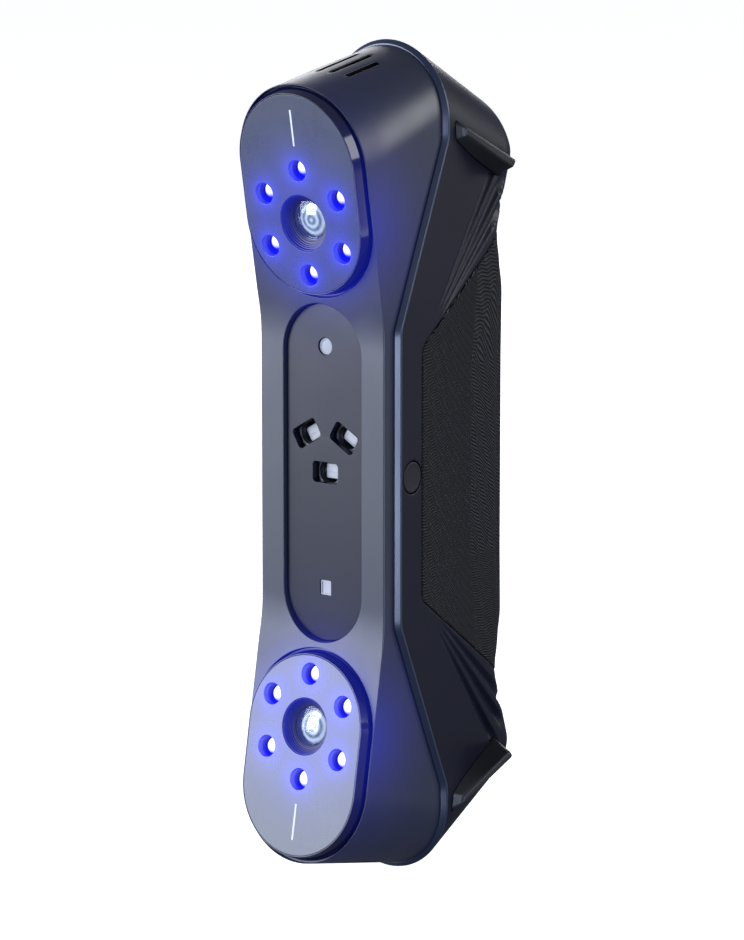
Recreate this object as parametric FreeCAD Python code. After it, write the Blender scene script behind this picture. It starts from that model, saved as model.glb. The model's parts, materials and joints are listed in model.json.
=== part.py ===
"""Handheld 3D scanner: two toed-in camera heads joined by a grip, in millimetres.

X is the width, Y the depth (the lenses look towards -Y) and Z the long axis.
Pieces are drawn with Y = 0 on the flat middle of the front face, and moved at
the end so that the origin is the middle of the object's box.
"""
import os
import math
import FreeCAD
import Part
from FreeCAD import Vector

# ---------------------------------------------------------------- driving dimensions
FACE_BREAK = 37.9            # where the front face starts to lean towards the object
TOE_IN = 9.8                 # degrees each head leans inwards
SPAN = 60.0                  # more than half the width: prisms and cutters run this far
REACH = 125.0                # more than half the height

FRONT_WIDTH = 20.46          # half width of the front shell at the face
FRONT_WIDTH_BACK = 17.6      # the same at its back edge
FRONT_CENTRE = 80.6          # height of the end arcs' centres at the face
FRONT_CENTRE_BACK = 88.86
FRONT_CENTRE_NOSE = 77.4
FRONT_NOSE_Y = -16.0
FRONT_BACK_Y = 27.0
SHELL_WALL = 2.0
FACE_WALL = 3.0

REAR_WIDTH = 22.15           # half width of the rear casing's side planes at Y = 0
REAR_TAPER = 0.1114          # how much they close in per millimetre of depth
HEAD_CENTRE = 88.3           # centre of the head's end arc at the parting line
HEAD_PARTING_Y = 26.5        # parting line at the heads
MID_PARTING_Y = 4.8          # parting line beside the grip
PARTING_KNEE_MID = 37.5
PARTING_KNEE_HEAD = 83.2
KNEE_RADIUS = 6.0
REAR_Y = 61.4                # rearmost face of the heads
REAR_CENTRE = 73.24          # centre of the end arc at the rearmost face
GRIP_REAR_Y = 57.2           # back of the grip
NECK_REAR_Y = 53.8           # waist between grip and head
NECK_Z = 57.0
GRIP_FLAT_Z = 43.0
HEAD_FLAT_Z = 78.0
REAR_ROUND = 7.0             # rounding of the rear corners
CASING_WALL = 2.0

TRIM_FRONT = -1.15           # the trim band's two edges, from the parting line
TRIM_BACK = 0.8
TRIM_DEPTH = 3.6             # how far it reaches in from the outside
TRIM_CHAMFER = 1.15

SLEEVE_THICKNESS = 2.2
SLEEVE_FRONT_Y = 14.7
SLEEVE_FRONT_Z = 32.0
SLEEVE_SLOPE = 0.69          # rise of the sleeve's end edges per millimetre of depth
FLUTES = (6.0, 11.5, 17.0)   # degrees between the sleeve's end edge and each flute
FLUTE_RADIUS = 1.5
FLUTE_LENGTH = 46.0
BUMPER_FOOT_X = 15
BUMPER_CROWN_SLOPE = 0.25
# (y, z) corners of each pad where it enters the casing and at its outer face.
BUMPERS = {
    "upper": {"foot": [(27.0, 90.0), (28.0, 81.5), (51.5, 71.2), (53.0, 76.0)],
              "crown": [(31.0, 86.6), (31.5, 84.1), (45.8, 74.9), (47.0, 76.8)]},
    "lower": {"foot": [(26.0, 93.0), (26.8, 84.6), (50.8, 74.7), (53.0, 78.5)],
              "crown": [(31.0, 88.8), (31.5, 86.4), (45.8, 76.6), (47.0, 78.3)]},
}

LENS_Z = 64.08               # lens axis where it meets the face plate
PLATE_Y = -7.17
PLATE_RADIUS = 18.2
PLATE_STRETCH = 14.74        # how far the plate's outer end is drawn out
PLATE_THICKNESS = 1.6
BEZEL_LIP = 0.25
BEZEL_RADIUS = 19.3
BEZEL_PROUD = 2.6            # how far the plate stands in front of the shell's face
BEZEL_DEPTH = 5.4
GROOVE_RADIUS = 20.05
GROOVE_DEPTH = 1.2
LENS_OPENING = 7.3
LED_COUNT = 6
LED_CIRCLE = 13.46
LED_HOLE = 2.75
LED_RADIUS = 2.4

PANEL_WIDTH = 12.72          # half width and half height of the recessed middle panel
PANEL_HEIGHT = 43.2
PANEL_RECESS = 1.2
PANEL_THICKNESS = 1.5
PANEL_LEDGE = 1.5
LASER_SIDE = 6.1
LASER_Z = 9.45
LASER_TILT = 30.0
LASER_WINDOW = (8.2, 5.3)
COLOUR_WINDOW_Z = 32.2
COLOUR_WINDOW_RADIUS = 2.2
PROJECTOR_Z = -29.6
PROJECTOR_WINDOW = (3.5, 3.9)

VENT_SLOTS = ((2.1, 0.6, 16.8), (6.3, 2.0, 14.5))    # offset in X, and from and to in Y
VENT_WIDTH = 1.5

BENCH_FRONT_Y = 22.0
BENCH_BACK_Y = 24.5
BOARD_FRONT_Y = 30.0
BOARD_THICKNESS = 1.6

PLUG_Y = 10.2
PLUG_RADIUS = 3.95
PLUG_HOLE = 4.25
PLUG_INNER_X = 18.9
INSERT_FROM_X = 11.8
INSERT_TO_X = 17.3
INSERT_RADIUS = 4.0
THREAD_RADIUS = 2.55         # minor radius of a 1/4-20 thread

KEY_PANEL_WIDTH = 7.0
KEY_PANEL_Z = (-21.0, 27.0)
KEY_PANEL_THICKNESS = 1.6
KEY_GAP = 0.3
KEY_TRAVEL = 0.8
KEYS = {"scan_key": (3.0, 5.0), "plus_key": (16.5, 3.4), "minus_key": (-9.5, 3.4)}

FAN_SIZE = 25.0
FAN_Z = 74.0
FAN_HEIGHT = 7.0
FAN_Y = 41.5

PORT_Y = 42.0
PORT_HALF = (6.6, 13.0)
PORT_DEPTH = 2.4

CASE_SCREW = (8.4, 69.0)
BENCH_SCREW = (9.6, 50.0)

FACE_SLOPE = math.tan(math.radians(TOE_IN))
ORIGIN_Y = 0.5 * (REAR_Y - 12.83)


# ---------------------------------------------------------------- shape helpers
def unit(x, y, z):
    """A vector of length one."""
    return Vector(x, y, z).normalize()


def rounded_wire(corners):
    """Closed wire through (point, radius) corners; a radius of 0 leaves a corner sharp."""
    runs = []
    arcs = []
    for index, (corner, radius) in enumerate(corners):
        before = (corners[index - 1][0] - corner).normalize()
        after = (corners[(index + 1) % len(corners)][0] - corner).normalize()
        if radius == 0:
            runs.append((corner, corner))
            arcs.append(None)
            continue
        half = before.getAngle(after) / 2
        centre = corner + (before + after).normalize() * (radius / math.sin(half))
        start = corner + before * (radius / math.tan(half))
        stop = corner + after * (radius / math.tan(half))
        middle = centre + (corner - centre).normalize() * radius
        runs.append((start, stop))
        arcs.append(Part.Arc(start, middle, stop).toShape())
    edges = []
    for index, (start, stop) in enumerate(runs):
        if arcs[index]:
            edges.append(arcs[index])
        edges.append(Part.LineSegment(stop, runs[(index + 1) % len(runs)][0]).toShape())
    return Part.Wire(edges)


def side_prism(profile, half_width=SPAN):
    """A (y, z, radius) outline, drawn from the side and extruded through the width."""
    corners = [(Vector(-half_width, y, z), radius) for y, z, radius in profile]
    return Part.Face(rounded_wire(corners)).extrude(Vector(2 * half_width, 0, 0))


def stadium_wire(y, half_width, centre):
    """A racetrack outline across the depth, with its end arcs centred at +-centre."""
    lower = Vector(half_width, y, -centre)
    upper = Vector(half_width, y, centre)
    upper_left = Vector(-half_width, y, centre)
    lower_left = Vector(-half_width, y, -centre)
    return Part.Wire([
        Part.LineSegment(lower, upper).toShape(),
        Part.Arc(upper, Vector(0, y, centre + half_width), upper_left).toShape(),
        Part.LineSegment(upper_left, lower_left).toShape(),
        Part.Arc(lower_left, Vector(0, y, -centre - half_width), lower).toShape(),
    ])


def depth_loft(sections):
    """A solid through racetrack sections given as (y, half width, arc centre)."""
    return Part.makeLoft([stadium_wire(*section) for section in sections], True, True)


def panel_prism(half_width, half_height, y_from, y_to):
    """A racetrack plate facing forwards."""
    face = Part.Face(stadium_wire(y_from, half_width, half_height - half_width))
    return face.extrude(Vector(0, y_to - y_from, 0))


def block(x, y, z):
    """A box from three (low, high) pairs."""
    return Part.makeBox(x[1] - x[0], y[1] - y[0], z[1] - z[0], Vector(x[0], y[0], z[0]))


def rod(radius, start, stop):
    """A cylinder between two points."""
    return Part.makeCylinder(radius, (stop - start).Length, start, stop - start)


def tube(outer, inner, start, stop):
    """A hollow cylinder between two points."""
    return rod(outer, start, stop).cut(rod(inner, start, stop))


def rounded_block(size_x, size_z, radius, y_from, y_to):
    """A plate facing forwards with rounded corners, centred on the Y axis."""
    half_x, half_z = size_x / 2, size_z / 2
    corners = [(Vector(x, y_from, z), radius)
               for x, z in ((half_x, half_z), (-half_x, half_z), (-half_x, -half_z), (half_x, -half_z))]
    return Part.Face(rounded_wire(corners)).extrude(Vector(0, y_to - y_from, 0))


def both_sides(points):
    """Each (x, z) place, repeated in all four quarters of the front view."""
    x, z = points
    return [(sx * x, sz * z) for sx in (1, -1) for sz in (1, -1)]


# ---------------------------------------------------------------- profiles and outer bodies
def front_profile(shift=0.0):
    """The front face from the side, bottom to top."""
    end_y = -FACE_SLOPE * (REACH - FACE_BREAK) + shift
    return [(end_y, -REACH, 0), (shift, -FACE_BREAK, 60), (shift, FACE_BREAK, 60), (end_y, REACH, 0)]


def parting_profile(shift=0.0):
    """The parting line between front and rear from the side, bottom to top."""
    head, middle = HEAD_PARTING_Y + shift, MID_PARTING_Y + shift
    return [(head, -REACH, 0), (head, -PARTING_KNEE_HEAD, KNEE_RADIUS),
            (middle, -PARTING_KNEE_MID, KNEE_RADIUS), (middle, PARTING_KNEE_MID, KNEE_RADIUS),
            (head, PARTING_KNEE_HEAD, KNEE_RADIUS), (head, REACH, 0)]


def between(front, back):
    """Prism between two profiles that both run from bottom to top."""
    return side_prism(front + back[::-1])


def behind(front):
    """Prism of everything behind a profile."""
    return side_prism(front + [(REACH, REACH, 0), (REACH, -REACH, 0)])


def front_body(inset=0.0):
    """The front shell's outer form, or that form moved in by a wall."""
    return depth_loft([
        (FRONT_NOSE_Y, FRONT_WIDTH - inset, FRONT_CENTRE_NOSE),
        (0.0, FRONT_WIDTH - inset, FRONT_CENTRE),
        (FRONT_BACK_Y, FRONT_WIDTH_BACK - inset, FRONT_CENTRE_BACK),
    ])


def rear_half_width(y):
    """Half width between the side planes at a depth."""
    return REAR_WIDTH - REAR_TAPER * y


def rear_loft(inset=0.0):
    """The rear casing's outer form before its back is shaped."""
    return depth_loft([
        (y, rear_half_width(y) - inset, centre)
        for y, centre in ((0.0, HEAD_CENTRE), (HEAD_PARTING_Y, HEAD_CENTRE), (REAR_Y, REAR_CENTRE))
    ])


def rear_body(inset=0.0):
    """The rear form with its wavy back and rounded rear corners."""
    back = [(REAR_Y - inset, -REACH, 0), (REAR_Y - inset, -HEAD_FLAT_Z, 9),
            (NECK_REAR_Y - inset, -NECK_Z, 12), (GRIP_REAR_Y - inset, -GRIP_FLAT_Z, 18),
            (GRIP_REAR_Y - inset, GRIP_FLAT_Z, 18), (NECK_REAR_Y - inset, NECK_Z, 12),
            (REAR_Y - inset, HEAD_FLAT_Z, 9), (REAR_Y - inset, REACH, 0)]
    body = rear_loft(inset).common(side_prism([(-REACH, -REACH, 0)] + back + [(-REACH, REACH, 0)]))
    rear_edges = [edge for edge in body.Edges
                  if edge.BoundBox.YMin > NECK_REAR_Y - inset - 1.5 and edge.BoundBox.XLength < 40
                  and not (abs(edge.CenterOfMass.x) < 0.01 and edge.BoundBox.ZLength < 0.01)]
    return body.makeFillet(REAR_ROUND - inset / 2, rear_edges)


def sleeve_zone():
    """Side view of the part of the grip that the rubber sleeve covers."""
    far_y = SLEEVE_FRONT_Y + 60
    far_z = SLEEVE_FRONT_Z + 60 * SLEEVE_SLOPE
    return side_prism([(SLEEVE_FRONT_Y, -SLEEVE_FRONT_Z, 3), (SLEEVE_FRONT_Y, SLEEVE_FRONT_Z, 3),
                       (far_y, far_z, 0), (far_y, -far_z, 0)])


# ---------------------------------------------------------------- camera heads
def pod_stadium(radius, low, high, radius_high=None):
    """A plate or frustum in head coordinates: X across, Y outwards, Z forwards."""
    wires = []
    for level, reach in ((low, radius), (high, radius_high or radius)):
        right_in, right_out = Vector(reach, 0, level), Vector(reach, PLATE_STRETCH, level)
        left_in, left_out = Vector(-reach, 0, level), Vector(-reach, PLATE_STRETCH, level)
        wires.append(Part.Wire([
            Part.LineSegment(right_in, right_out).toShape(),
            Part.Arc(right_out, Vector(0, PLATE_STRETCH + reach, level), left_out).toShape(),
            Part.LineSegment(left_out, left_in).toShape(),
            Part.Arc(left_in, Vector(0, -reach, level), right_in).toShape(),
        ]))
    return Part.makeLoft(wires, True, True)


def disc(radius, low, high, x=0.0, y=0.0):
    """A round piece along the lens axis, in head coordinates."""
    return Part.makeCylinder(radius, high - low, Vector(x, y, low))


def led_places():
    """Centres of the lamps round the lens, in head coordinates."""
    places = []
    for index in range(LED_COUNT):
        angle = math.radians(30 + 360 * index / LED_COUNT)
        places.append((LED_CIRCLE * math.cos(angle), LED_CIRCLE * math.sin(angle)))
    return places


def place_pod(shape, upper):
    """Move a shape from head coordinates to the upper or the lower head."""
    turned = shape.copy()
    turned.rotate(Vector(0, 0, 0), Vector(1, 0, 0), 90 + TOE_IN)
    turned.translate(Vector(0, PLATE_Y, LENS_Z))
    if not upper:
        turned.rotate(Vector(0, 0, 0), Vector(0, 1, 0), 180)
    return turned


def face_plate():
    """The flat plate that the lens and the lamps look through."""
    plate = pod_stadium(PLATE_RADIUS, -PLATE_THICKNESS, 0)
    plate = plate.makeFillet(0.2, [edge for edge in plate.Edges if edge.BoundBox.ZMin > -0.01])
    plate = plate.cut(disc(LENS_OPENING, -PLATE_THICKNESS, 0))
    for x, y in led_places():
        plate = plate.cut(disc(LED_HOLE, -PLATE_THICKNESS, 0, x, y))
    return plate


def camera_bezel():
    """The sloping frame that carries the face plate, with its neck in the shell."""
    frame = pod_stadium(BEZEL_RADIUS, -BEZEL_PROUD, 0, PLATE_RADIUS + BEZEL_LIP)
    frame = frame.fuse(pod_stadium(BEZEL_RADIUS, -BEZEL_DEPTH, -BEZEL_PROUD)).removeSplitter()
    frame = frame.cut(pod_stadium(PLATE_RADIUS, -PLATE_THICKNESS, 1))
    return frame.cut(pod_stadium(PLATE_RADIUS - 1.7, -BEZEL_DEPTH - 1, 0))


def led_holder():
    """The lamp block behind the plate, with one well for each lamp."""
    holder = disc(16.2, -7.0, -PLATE_THICKNESS).cut(disc(9.3, -7.0, -PLATE_THICKNESS))
    for x, y in led_places():
        holder = holder.cut(disc(LED_HOLE, -7.0, -PLATE_THICKNESS, x, y))
    return holder


def led_board():
    """The ring board that the lamps are soldered to."""
    return disc(15.8, -8.6, -7.0).cut(disc(9.3, -8.6, -7.0))


def leds():
    """Six round lamps with domed tops, as separate solids."""
    lamps = []
    for x, y in led_places():
        lamp = disc(LED_RADIUS, -7.0, -4.2, x, y)
        lamps.append(lamp.fuse(Part.makeSphere(LED_RADIUS, Vector(x, y, -4.2))).removeSplitter())
    return Part.makeCompound(lamps)


def lens_hood():
    """Stepped ring between the plate's opening and the front lens."""
    outline = [(7.2, -0.1), (7.2, -PLATE_THICKNESS), (9.0, -PLATE_THICKNESS), (9.0, -4.2), (5.9, -4.2),
               (5.9, -3.0), (5.4, -3.0), (5.4, -2.7), (6.0, -2.1), (6.3, -2.1), (6.6, -1.2), (6.9, -1.2),
               (7.05, -0.1)]
    points = [Vector(radius, 0, level) for radius, level in outline]
    face = Part.Face(Part.makePolygon(points + points[:1]))
    return face.revolve(Vector(0, 0, 0), Vector(0, 0, 1), 360)


def front_lens():
    """The front element, bulging forwards."""
    glass_radius = 16.0
    cap = Part.makeSphere(glass_radius, Vector(0, 0, -2.55 - glass_radius))
    return disc(5.85, -5.2, -2.0).common(cap)


def lens_barrel():
    """The lens tube, from behind the hood to the camera."""
    return disc(8.0, -16.5, -4.2).cut(disc(5.9, -16.5, -4.2))


def lens_lock_ring():
    """Clamp ring that locks the focus."""
    ring = disc(10.0, -12.6, -9.6).cut(disc(8.0, -12.6, -9.6))
    return ring.cut(block((-0.6, 0.6), (7.0, 11.0), (-13.0, -9.0)))


def camera_housing():
    """Block that carries the lens in front and the sensor behind."""
    housing = block((-14, 14), (-14, 14), (-24, -16.5))
    housing = housing.makeFillet(2.0, [edge for edge in housing.Edges if edge.BoundBox.ZLength > 7])
    return housing.cut(block((-9, 9), (-9, 9), (-24, -18.0))).cut(disc(6.0, -18.0, -16.5))


def camera_board():
    """Sensor board with its chip, on the back of the housing."""
    board = block((-13, 13), (-13, 13), (-25.4, -24)).fuse(block((-6, 6), (-5, 5), (-24, -22.6)))
    return board.fuse(block((-5, 5), (-10.5, -7.5), (-26.6, -25.4))).removeSplitter()


# ---------------------------------------------------------------- front half
def front_shell():
    """The front casing: heads, flat middle and side walls in one moulding."""
    outer = front_body().common(between(front_profile(), parting_profile(TRIM_FRONT)))
    shell = outer.cut(front_body(SHELL_WALL).common(behind(front_profile(FACE_WALL))))
    ledge_y = PANEL_RECESS + PANEL_THICKNESS
    shell = shell.fuse(panel_prism(PANEL_WIDTH + 1.9, PANEL_HEIGHT + 1.9, ledge_y - 1, ledge_y + PANEL_LEDGE))
    shell = shell.cut(panel_prism(PANEL_WIDTH + 0.08, PANEL_HEIGHT + 0.08, -6, ledge_y))
    shell = shell.cut(panel_prism(PANEL_WIDTH - 1.0, PANEL_HEIGHT - 1.0, 0, ledge_y + 4))
    hole = pod_stadium(GROOVE_RADIUS, -BEZEL_PROUD - GROOVE_DEPTH, 8)
    hole = hole.fuse(pod_stadium(BEZEL_RADIUS + 0.08, -BEZEL_DEPTH - 0.4, 8))
    for upper in (True, False):
        shell = shell.cut(place_pod(hole, upper))
    for offset, y_from, y_to in VENT_SLOTS:
        for side in (1, -1):
            shell = shell.cut(vent_slot(side * offset, y_from, y_to))
    return shell


def vent_slot(x, y_from, y_to):
    """A round-ended slot cut down through both ends of the front shell."""
    half = VENT_WIDTH / 2
    slot = block((x - half, x + half), (y_from + half, y_to - half), (-REACH, REACH))
    for y in (y_from + half, y_to - half):
        slot = slot.fuse(rod(half, Vector(x, y, -REACH), Vector(x, y, REACH)))
    return slot.cut(block((-SPAN, SPAN), (-SPAN, SPAN), (-90, 90)))


def trim_band():
    """The bright band between the front shell and the rear casing."""
    band = rear_loft().common(between(parting_profile(TRIM_FRONT), parting_profile(TRIM_BACK)))
    band = band.cut(rear_loft(TRIM_DEPTH))
    outer_front = [edge for edge in band.Edges if is_outer_front(edge)]
    return band.makeChamfer(TRIM_CHAMFER, outer_front)


def is_outer_front(edge):
    """True for the trim band's outer edge on its front side."""
    point = edge.valueAt(0.5 * (edge.FirstParameter + edge.LastParameter))
    knee = [(0, MID_PARTING_Y), (PARTING_KNEE_MID, MID_PARTING_Y), (PARTING_KNEE_HEAD, HEAD_PARTING_Y),
            (REACH, HEAD_PARTING_Y)]
    height = abs(point.z)
    for (z_from, y_from), (z_to, y_to) in zip(knee, knee[1:]):
        if z_from <= height <= z_to:
            line_y = y_from + (y_to - y_from) * (height - z_from) / (z_to - z_from)
    beyond = max(height - HEAD_CENTRE, 0)
    outside = math.hypot(point.x, beyond) > rear_half_width(point.y) - 0.5
    return outside and point.y < line_y


def centre_panel():
    """The recessed plate between the heads, with its windows."""
    ledge_y = PANEL_RECESS + PANEL_THICKNESS
    panel = panel_prism(PANEL_WIDTH, PANEL_HEIGHT, PANEL_RECESS, ledge_y)
    panel = panel.makeFillet(0.25, [edge for edge in panel.Edges if edge.BoundBox.YMax < PANEL_RECESS + 0.01])
    panel = panel.cut(rod(COLOUR_WINDOW_RADIUS, Vector(0, 0, COLOUR_WINDOW_Z), Vector(0, 5, COLOUR_WINDOW_Z)))
    window = rounded_block(*PROJECTOR_WINDOW, 0.4, 0, 5)
    window.translate(Vector(0, 0, PROJECTOR_Z))
    panel = panel.cut(window)
    for place in LASERS.values():
        panel = panel.cut(place_laser(rounded_block(*LASER_WINDOW, 1.0, 0, 5), place))
    return panel


LASERS = {
    "left": (-LASER_SIDE, LASER_Z, -LASER_TILT),
    "right": (LASER_SIDE, LASER_Z, LASER_TILT),
    "middle": (0.0, 0.0, 0.0),
}


def place_laser(shape, place):
    """Turn and move a laser piece from the Y axis to its window."""
    x, z, tilt = place
    moved = shape.copy()
    moved.rotate(Vector(0, 0, 0), Vector(0, 1, 0), tilt)
    moved.translate(Vector(x, 0, z))
    return moved


def laser_module():
    """Line laser: a metal block with a stepped bore."""
    body = rounded_block(9.2, 6.3, 0.8, 2.8, BENCH_FRONT_Y)
    for radius, y_to in ((3.12, 3.3), (3.05, 6.3), (1.2, 14.0)):
        body = body.cut(rod(radius, Vector(0, 2.7, 0), Vector(0, y_to, 0)))
    return body


def laser_lens():
    """The square line lens at the bottom of the laser's bore."""
    return rounded_block(4.4, 3.8, 0.3, 4.3, 6.3)


def colour_camera():
    """Small colour camera: a lens tube on a square base."""
    tube_part = tube(4.0, 2.3, Vector(0, 2.8, COLOUR_WINDOW_Z), Vector(0, 10, COLOUR_WINDOW_Z))
    base = block((-6, 6), (10, BENCH_FRONT_Y), (COLOUR_WINDOW_Z - 6, COLOUR_WINDOW_Z + 6))
    return base.fuse(tube_part).removeSplitter()


def colour_camera_window():
    """Round glass in the panel."""
    return rod(COLOUR_WINDOW_RADIUS - 0.05, Vector(0, 1.5, COLOUR_WINDOW_Z), Vector(0, 2.5, COLOUR_WINDOW_Z))


def projector_module():
    """Marker projector behind its small window."""
    body = block((-6, 6), (2.9, BENCH_FRONT_Y), (PROJECTOR_Z - 7, PROJECTOR_Z + 7))
    body = body.makeFillet(1.0, [edge for edge in body.Edges if edge.BoundBox.YLength > 10])
    return body.cut(rod(1.6, Vector(0, 2.8, PROJECTOR_Z), Vector(0, 9, PROJECTOR_Z)))


def projector_window():
    """Square diffusing window of the projector."""
    window = rounded_block(PROJECTOR_WINDOW[0] - 0.1, PROJECTOR_WINDOW[1] - 0.1, 0.35, 1.45, 2.5)
    window.translate(Vector(0, 0, PROJECTOR_Z))
    return window


# ---------------------------------------------------------------- rear half
def rear_casing():
    """The rear casing: both heads' backs and the grip's core in one moulding."""
    casing = rear_body().common(behind(parting_profile(TRIM_BACK)))
    casing = casing.cut(rear_body().cut(rear_body(SLEEVE_THICKNESS)).common(sleeve_zone()))
    casing = casing.cut(rear_body(SLEEVE_THICKNESS + CASING_WALL))
    for z_from, z_to in ((-REACH, -66), (66, REACH)):
        casing = casing.cut(rear_body(CASING_WALL).common(block((-SPAN, SPAN), (0, REACH), (z_from, z_to))))
    for flute in flutes():
        casing = casing.cut(flute)
    boss = rod(INSERT_RADIUS + 0.9, Vector(INSERT_FROM_X, PLUG_Y, 0), Vector(INSERT_TO_X + 0.6, PLUG_Y, 0))
    casing = casing.fuse(boss)
    casing = casing.cut(rod(INSERT_RADIUS, Vector(0, PLUG_Y, 0), Vector(INSERT_TO_X, PLUG_Y, 0)))
    casing = casing.cut(rod(THREAD_RADIUS + 0.6, Vector(0, PLUG_Y, 0), Vector(SPAN, PLUG_Y, 0)))
    casing = casing.cut(rod(PLUG_HOLE, Vector(PLUG_INNER_X - 0.3, PLUG_Y, 0), Vector(SPAN, PLUG_Y, 0)))
    for x, z in both_sides(CASE_SCREW):
        post = rod(3.2, Vector(x, BOARD_FRONT_Y, z), Vector(x, 56.5, z)).common(rear_body())
        casing = casing.fuse(post)
        casing = casing.cut(rod(1.1, Vector(x, 20, z), Vector(x, REAR_Y, z)))
        casing = casing.cut(rod(2.2, Vector(x, 50, z), Vector(x, REAR_Y + 5, z)))
    low, high = KEY_PANEL_Z
    casing = casing.cut(key_opening(KEY_PANEL_WIDTH - 1.2, low + 1.2, high - 1.2, 30, REAR_Y))
    backing = block((-PORT_HALF[0] - 2, PORT_HALF[0] + 2), (-PORT_HALF[1] - 2, PORT_HALF[1] + 2),
                    (-PORT_DEPTH - 2, 0))
    casing = casing.fuse(place_port(backing).common(rear_body(CASING_WALL - 0.5)))
    casing = casing.cut(port_recess())
    for socket in (data_socket_envelope(), power_jack_envelope()):
        casing = casing.cut(socket)
    return casing


def flutes():
    """Long tapering grooves that fan out from the sleeve's front corners."""
    grooves = []
    for fan in FLUTES:
        angle = math.atan(SLEEVE_SLOPE) + math.radians(fan)
        for side in (1, -1):
            for end in (1, -1):
                start_y = SLEEVE_FRONT_Y + 6
                start_z = end * (SLEEVE_FRONT_Z + 6 * math.tan(angle))
                start = Vector(side * rear_half_width(start_y), start_y, start_z)
                along = unit(-side * REAR_TAPER * math.cos(angle), math.cos(angle), end * math.sin(angle))
                grooves.append(Part.makeCone(0.05, FLUTE_RADIUS, FLUTE_LENGTH, start, along))
    return grooves


def grip_sleeve():
    """Rubber sleeve set flush into the grip, open where the keys are."""
    sleeve = rear_body().cut(rear_body(SLEEVE_THICKNESS)).common(sleeve_zone())
    low, high = KEY_PANEL_Z
    return sleeve.cut(key_opening(KEY_PANEL_WIDTH + 0.1, low - 0.1, high + 0.1, 40, REAR_Y))


def bumper(level):
    """Right corner pad: a long block that narrows outwards and rises towards the back.

    The lower pad is made above the middle too, and is mirrored afterwards.
    """
    foot = [Vector(BUMPER_FOOT_X, y, z) for y, z in BUMPERS[level]["foot"]]
    crown = [Vector(25 - BUMPER_CROWN_SLOPE * (47 - y), y, z) for y, z in BUMPERS[level]["crown"]]
    wires = [Part.makePolygon(ring + ring[:1]) for ring in (foot, crown)]
    pad = Part.makeLoft(wires, True, True)
    pad = pad.makeFillet(0.7, [edge for edge in pad.Edges if edge.BoundBox.XMin > 20])
    return pad.cut(rear_body())


def key_opening(half_width, z_from, z_to, y_from, y_to):
    """Racetrack cutter for the key panel, seen from behind."""
    centre = 0.5 * (z_to - z_from) - half_width
    cutter = Part.Face(stadium_wire(y_from, half_width, centre)).extrude(Vector(0, y_to - y_from, 0))
    cutter.translate(Vector(0, 0, 0.5 * (z_from + z_to)))
    return cutter


def key_panel():
    """Hard plate in the back of the grip that the keys come through."""
    back = GRIP_REAR_Y - 0.2
    panel = key_opening(KEY_PANEL_WIDTH, *KEY_PANEL_Z, back - KEY_PANEL_THICKNESS, back)
    panel = panel.makeFillet(0.4, [edge for edge in panel.Edges if edge.BoundBox.YMin > back - 0.01])
    for z, radius in KEYS.values():
        panel = panel.cut(rod(radius + KEY_GAP, Vector(0, 40, z), Vector(0, 70, z)))
    return panel.cut(rod(1.25, Vector(0, 40, KEY_PANEL_Z[0] + 4.2), Vector(0, 70, KEY_PANEL_Z[0] + 4.2)))


def key(name):
    """A round key: cap through the panel, flange behind it."""
    z, radius = KEYS[name]
    top = GRIP_REAR_Y + 1.2
    under = GRIP_REAR_Y - 0.2 - KEY_PANEL_THICKNESS - 0.3
    cap = rod(radius, Vector(0, under, z), Vector(0, top, z))
    cap = cap.makeFillet(0.6, [edge for edge in cap.Edges if edge.BoundBox.YMin > top - 0.01])
    dish = Part.makeSphere(radius * 4, Vector(0, top + radius * 4 - 0.45, z))
    flange = rod(min(radius + 0.9, KEY_PANEL_WIDTH - 1.6), Vector(0, under - 0.8, z), Vector(0, under, z))
    stem = rod(1.0, Vector(0, under - 1.9, z), Vector(0, under - 0.8, z))
    return cap.cut(dish).fuse(flange).fuse(stem).removeSplitter()


KEY_UNDER_Y = GRIP_REAR_Y - 0.2 - KEY_PANEL_THICKNESS - 0.3 - 1.9
KEY_BOARD_Y = KEY_UNDER_Y - KEY_TRAVEL - 0.3 - 0.6


def key_board():
    """Board with a low switch under each key."""
    board = block((-4.6, 4.6), (KEY_BOARD_Y - 1.2, KEY_BOARD_Y), (KEY_PANEL_Z[0] + 2.5, KEY_PANEL_Z[1] - 2.5))
    for z, _radius in KEYS.values():
        board = board.fuse(block((-2.2, 2.2), (KEY_BOARD_Y, KEY_BOARD_Y + 0.6), (z - 2.2, z + 2.2)))
    return board.removeSplitter()


def status_light():
    """Clear light pipe beside the keys."""
    z = KEY_PANEL_Z[0] + 4.2
    return rod(1.2, Vector(0, KEY_BOARD_Y, z), Vector(0, GRIP_REAR_Y, z))


def tripod_insert():
    """Threaded brass insert in the side of the casing."""
    start, stop = Vector(INSERT_FROM_X, PLUG_Y, 0), Vector(INSERT_TO_X, PLUG_Y, 0)
    return tube(INSERT_RADIUS, THREAD_RADIUS, start, stop)


def tripod_plug():
    """Round cover over the insert, flush with the casing's side."""
    plug = rod(PLUG_RADIUS, Vector(PLUG_INNER_X, PLUG_Y, 0), Vector(SPAN, PLUG_Y, 0))
    return plug.common(rear_loft())


# ---------------------------------------------------------------- ports in the lower end
def port_axes():
    """Middle of the port recess on the lower end, its outward normal and its long direction."""
    end_slope = (REAR_CENTRE + rear_half_width(REAR_Y) - HEAD_CENTRE - rear_half_width(HEAD_PARTING_Y)) \
        / (REAR_Y - HEAD_PARTING_Y)
    height = HEAD_CENTRE + rear_half_width(HEAD_PARTING_Y) + end_slope * (PORT_Y - HEAD_PARTING_Y)
    along = unit(0, 1, -end_slope)
    outward = unit(0, -end_slope, -1)
    return Vector(0, PORT_Y, -height), outward, along


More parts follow.
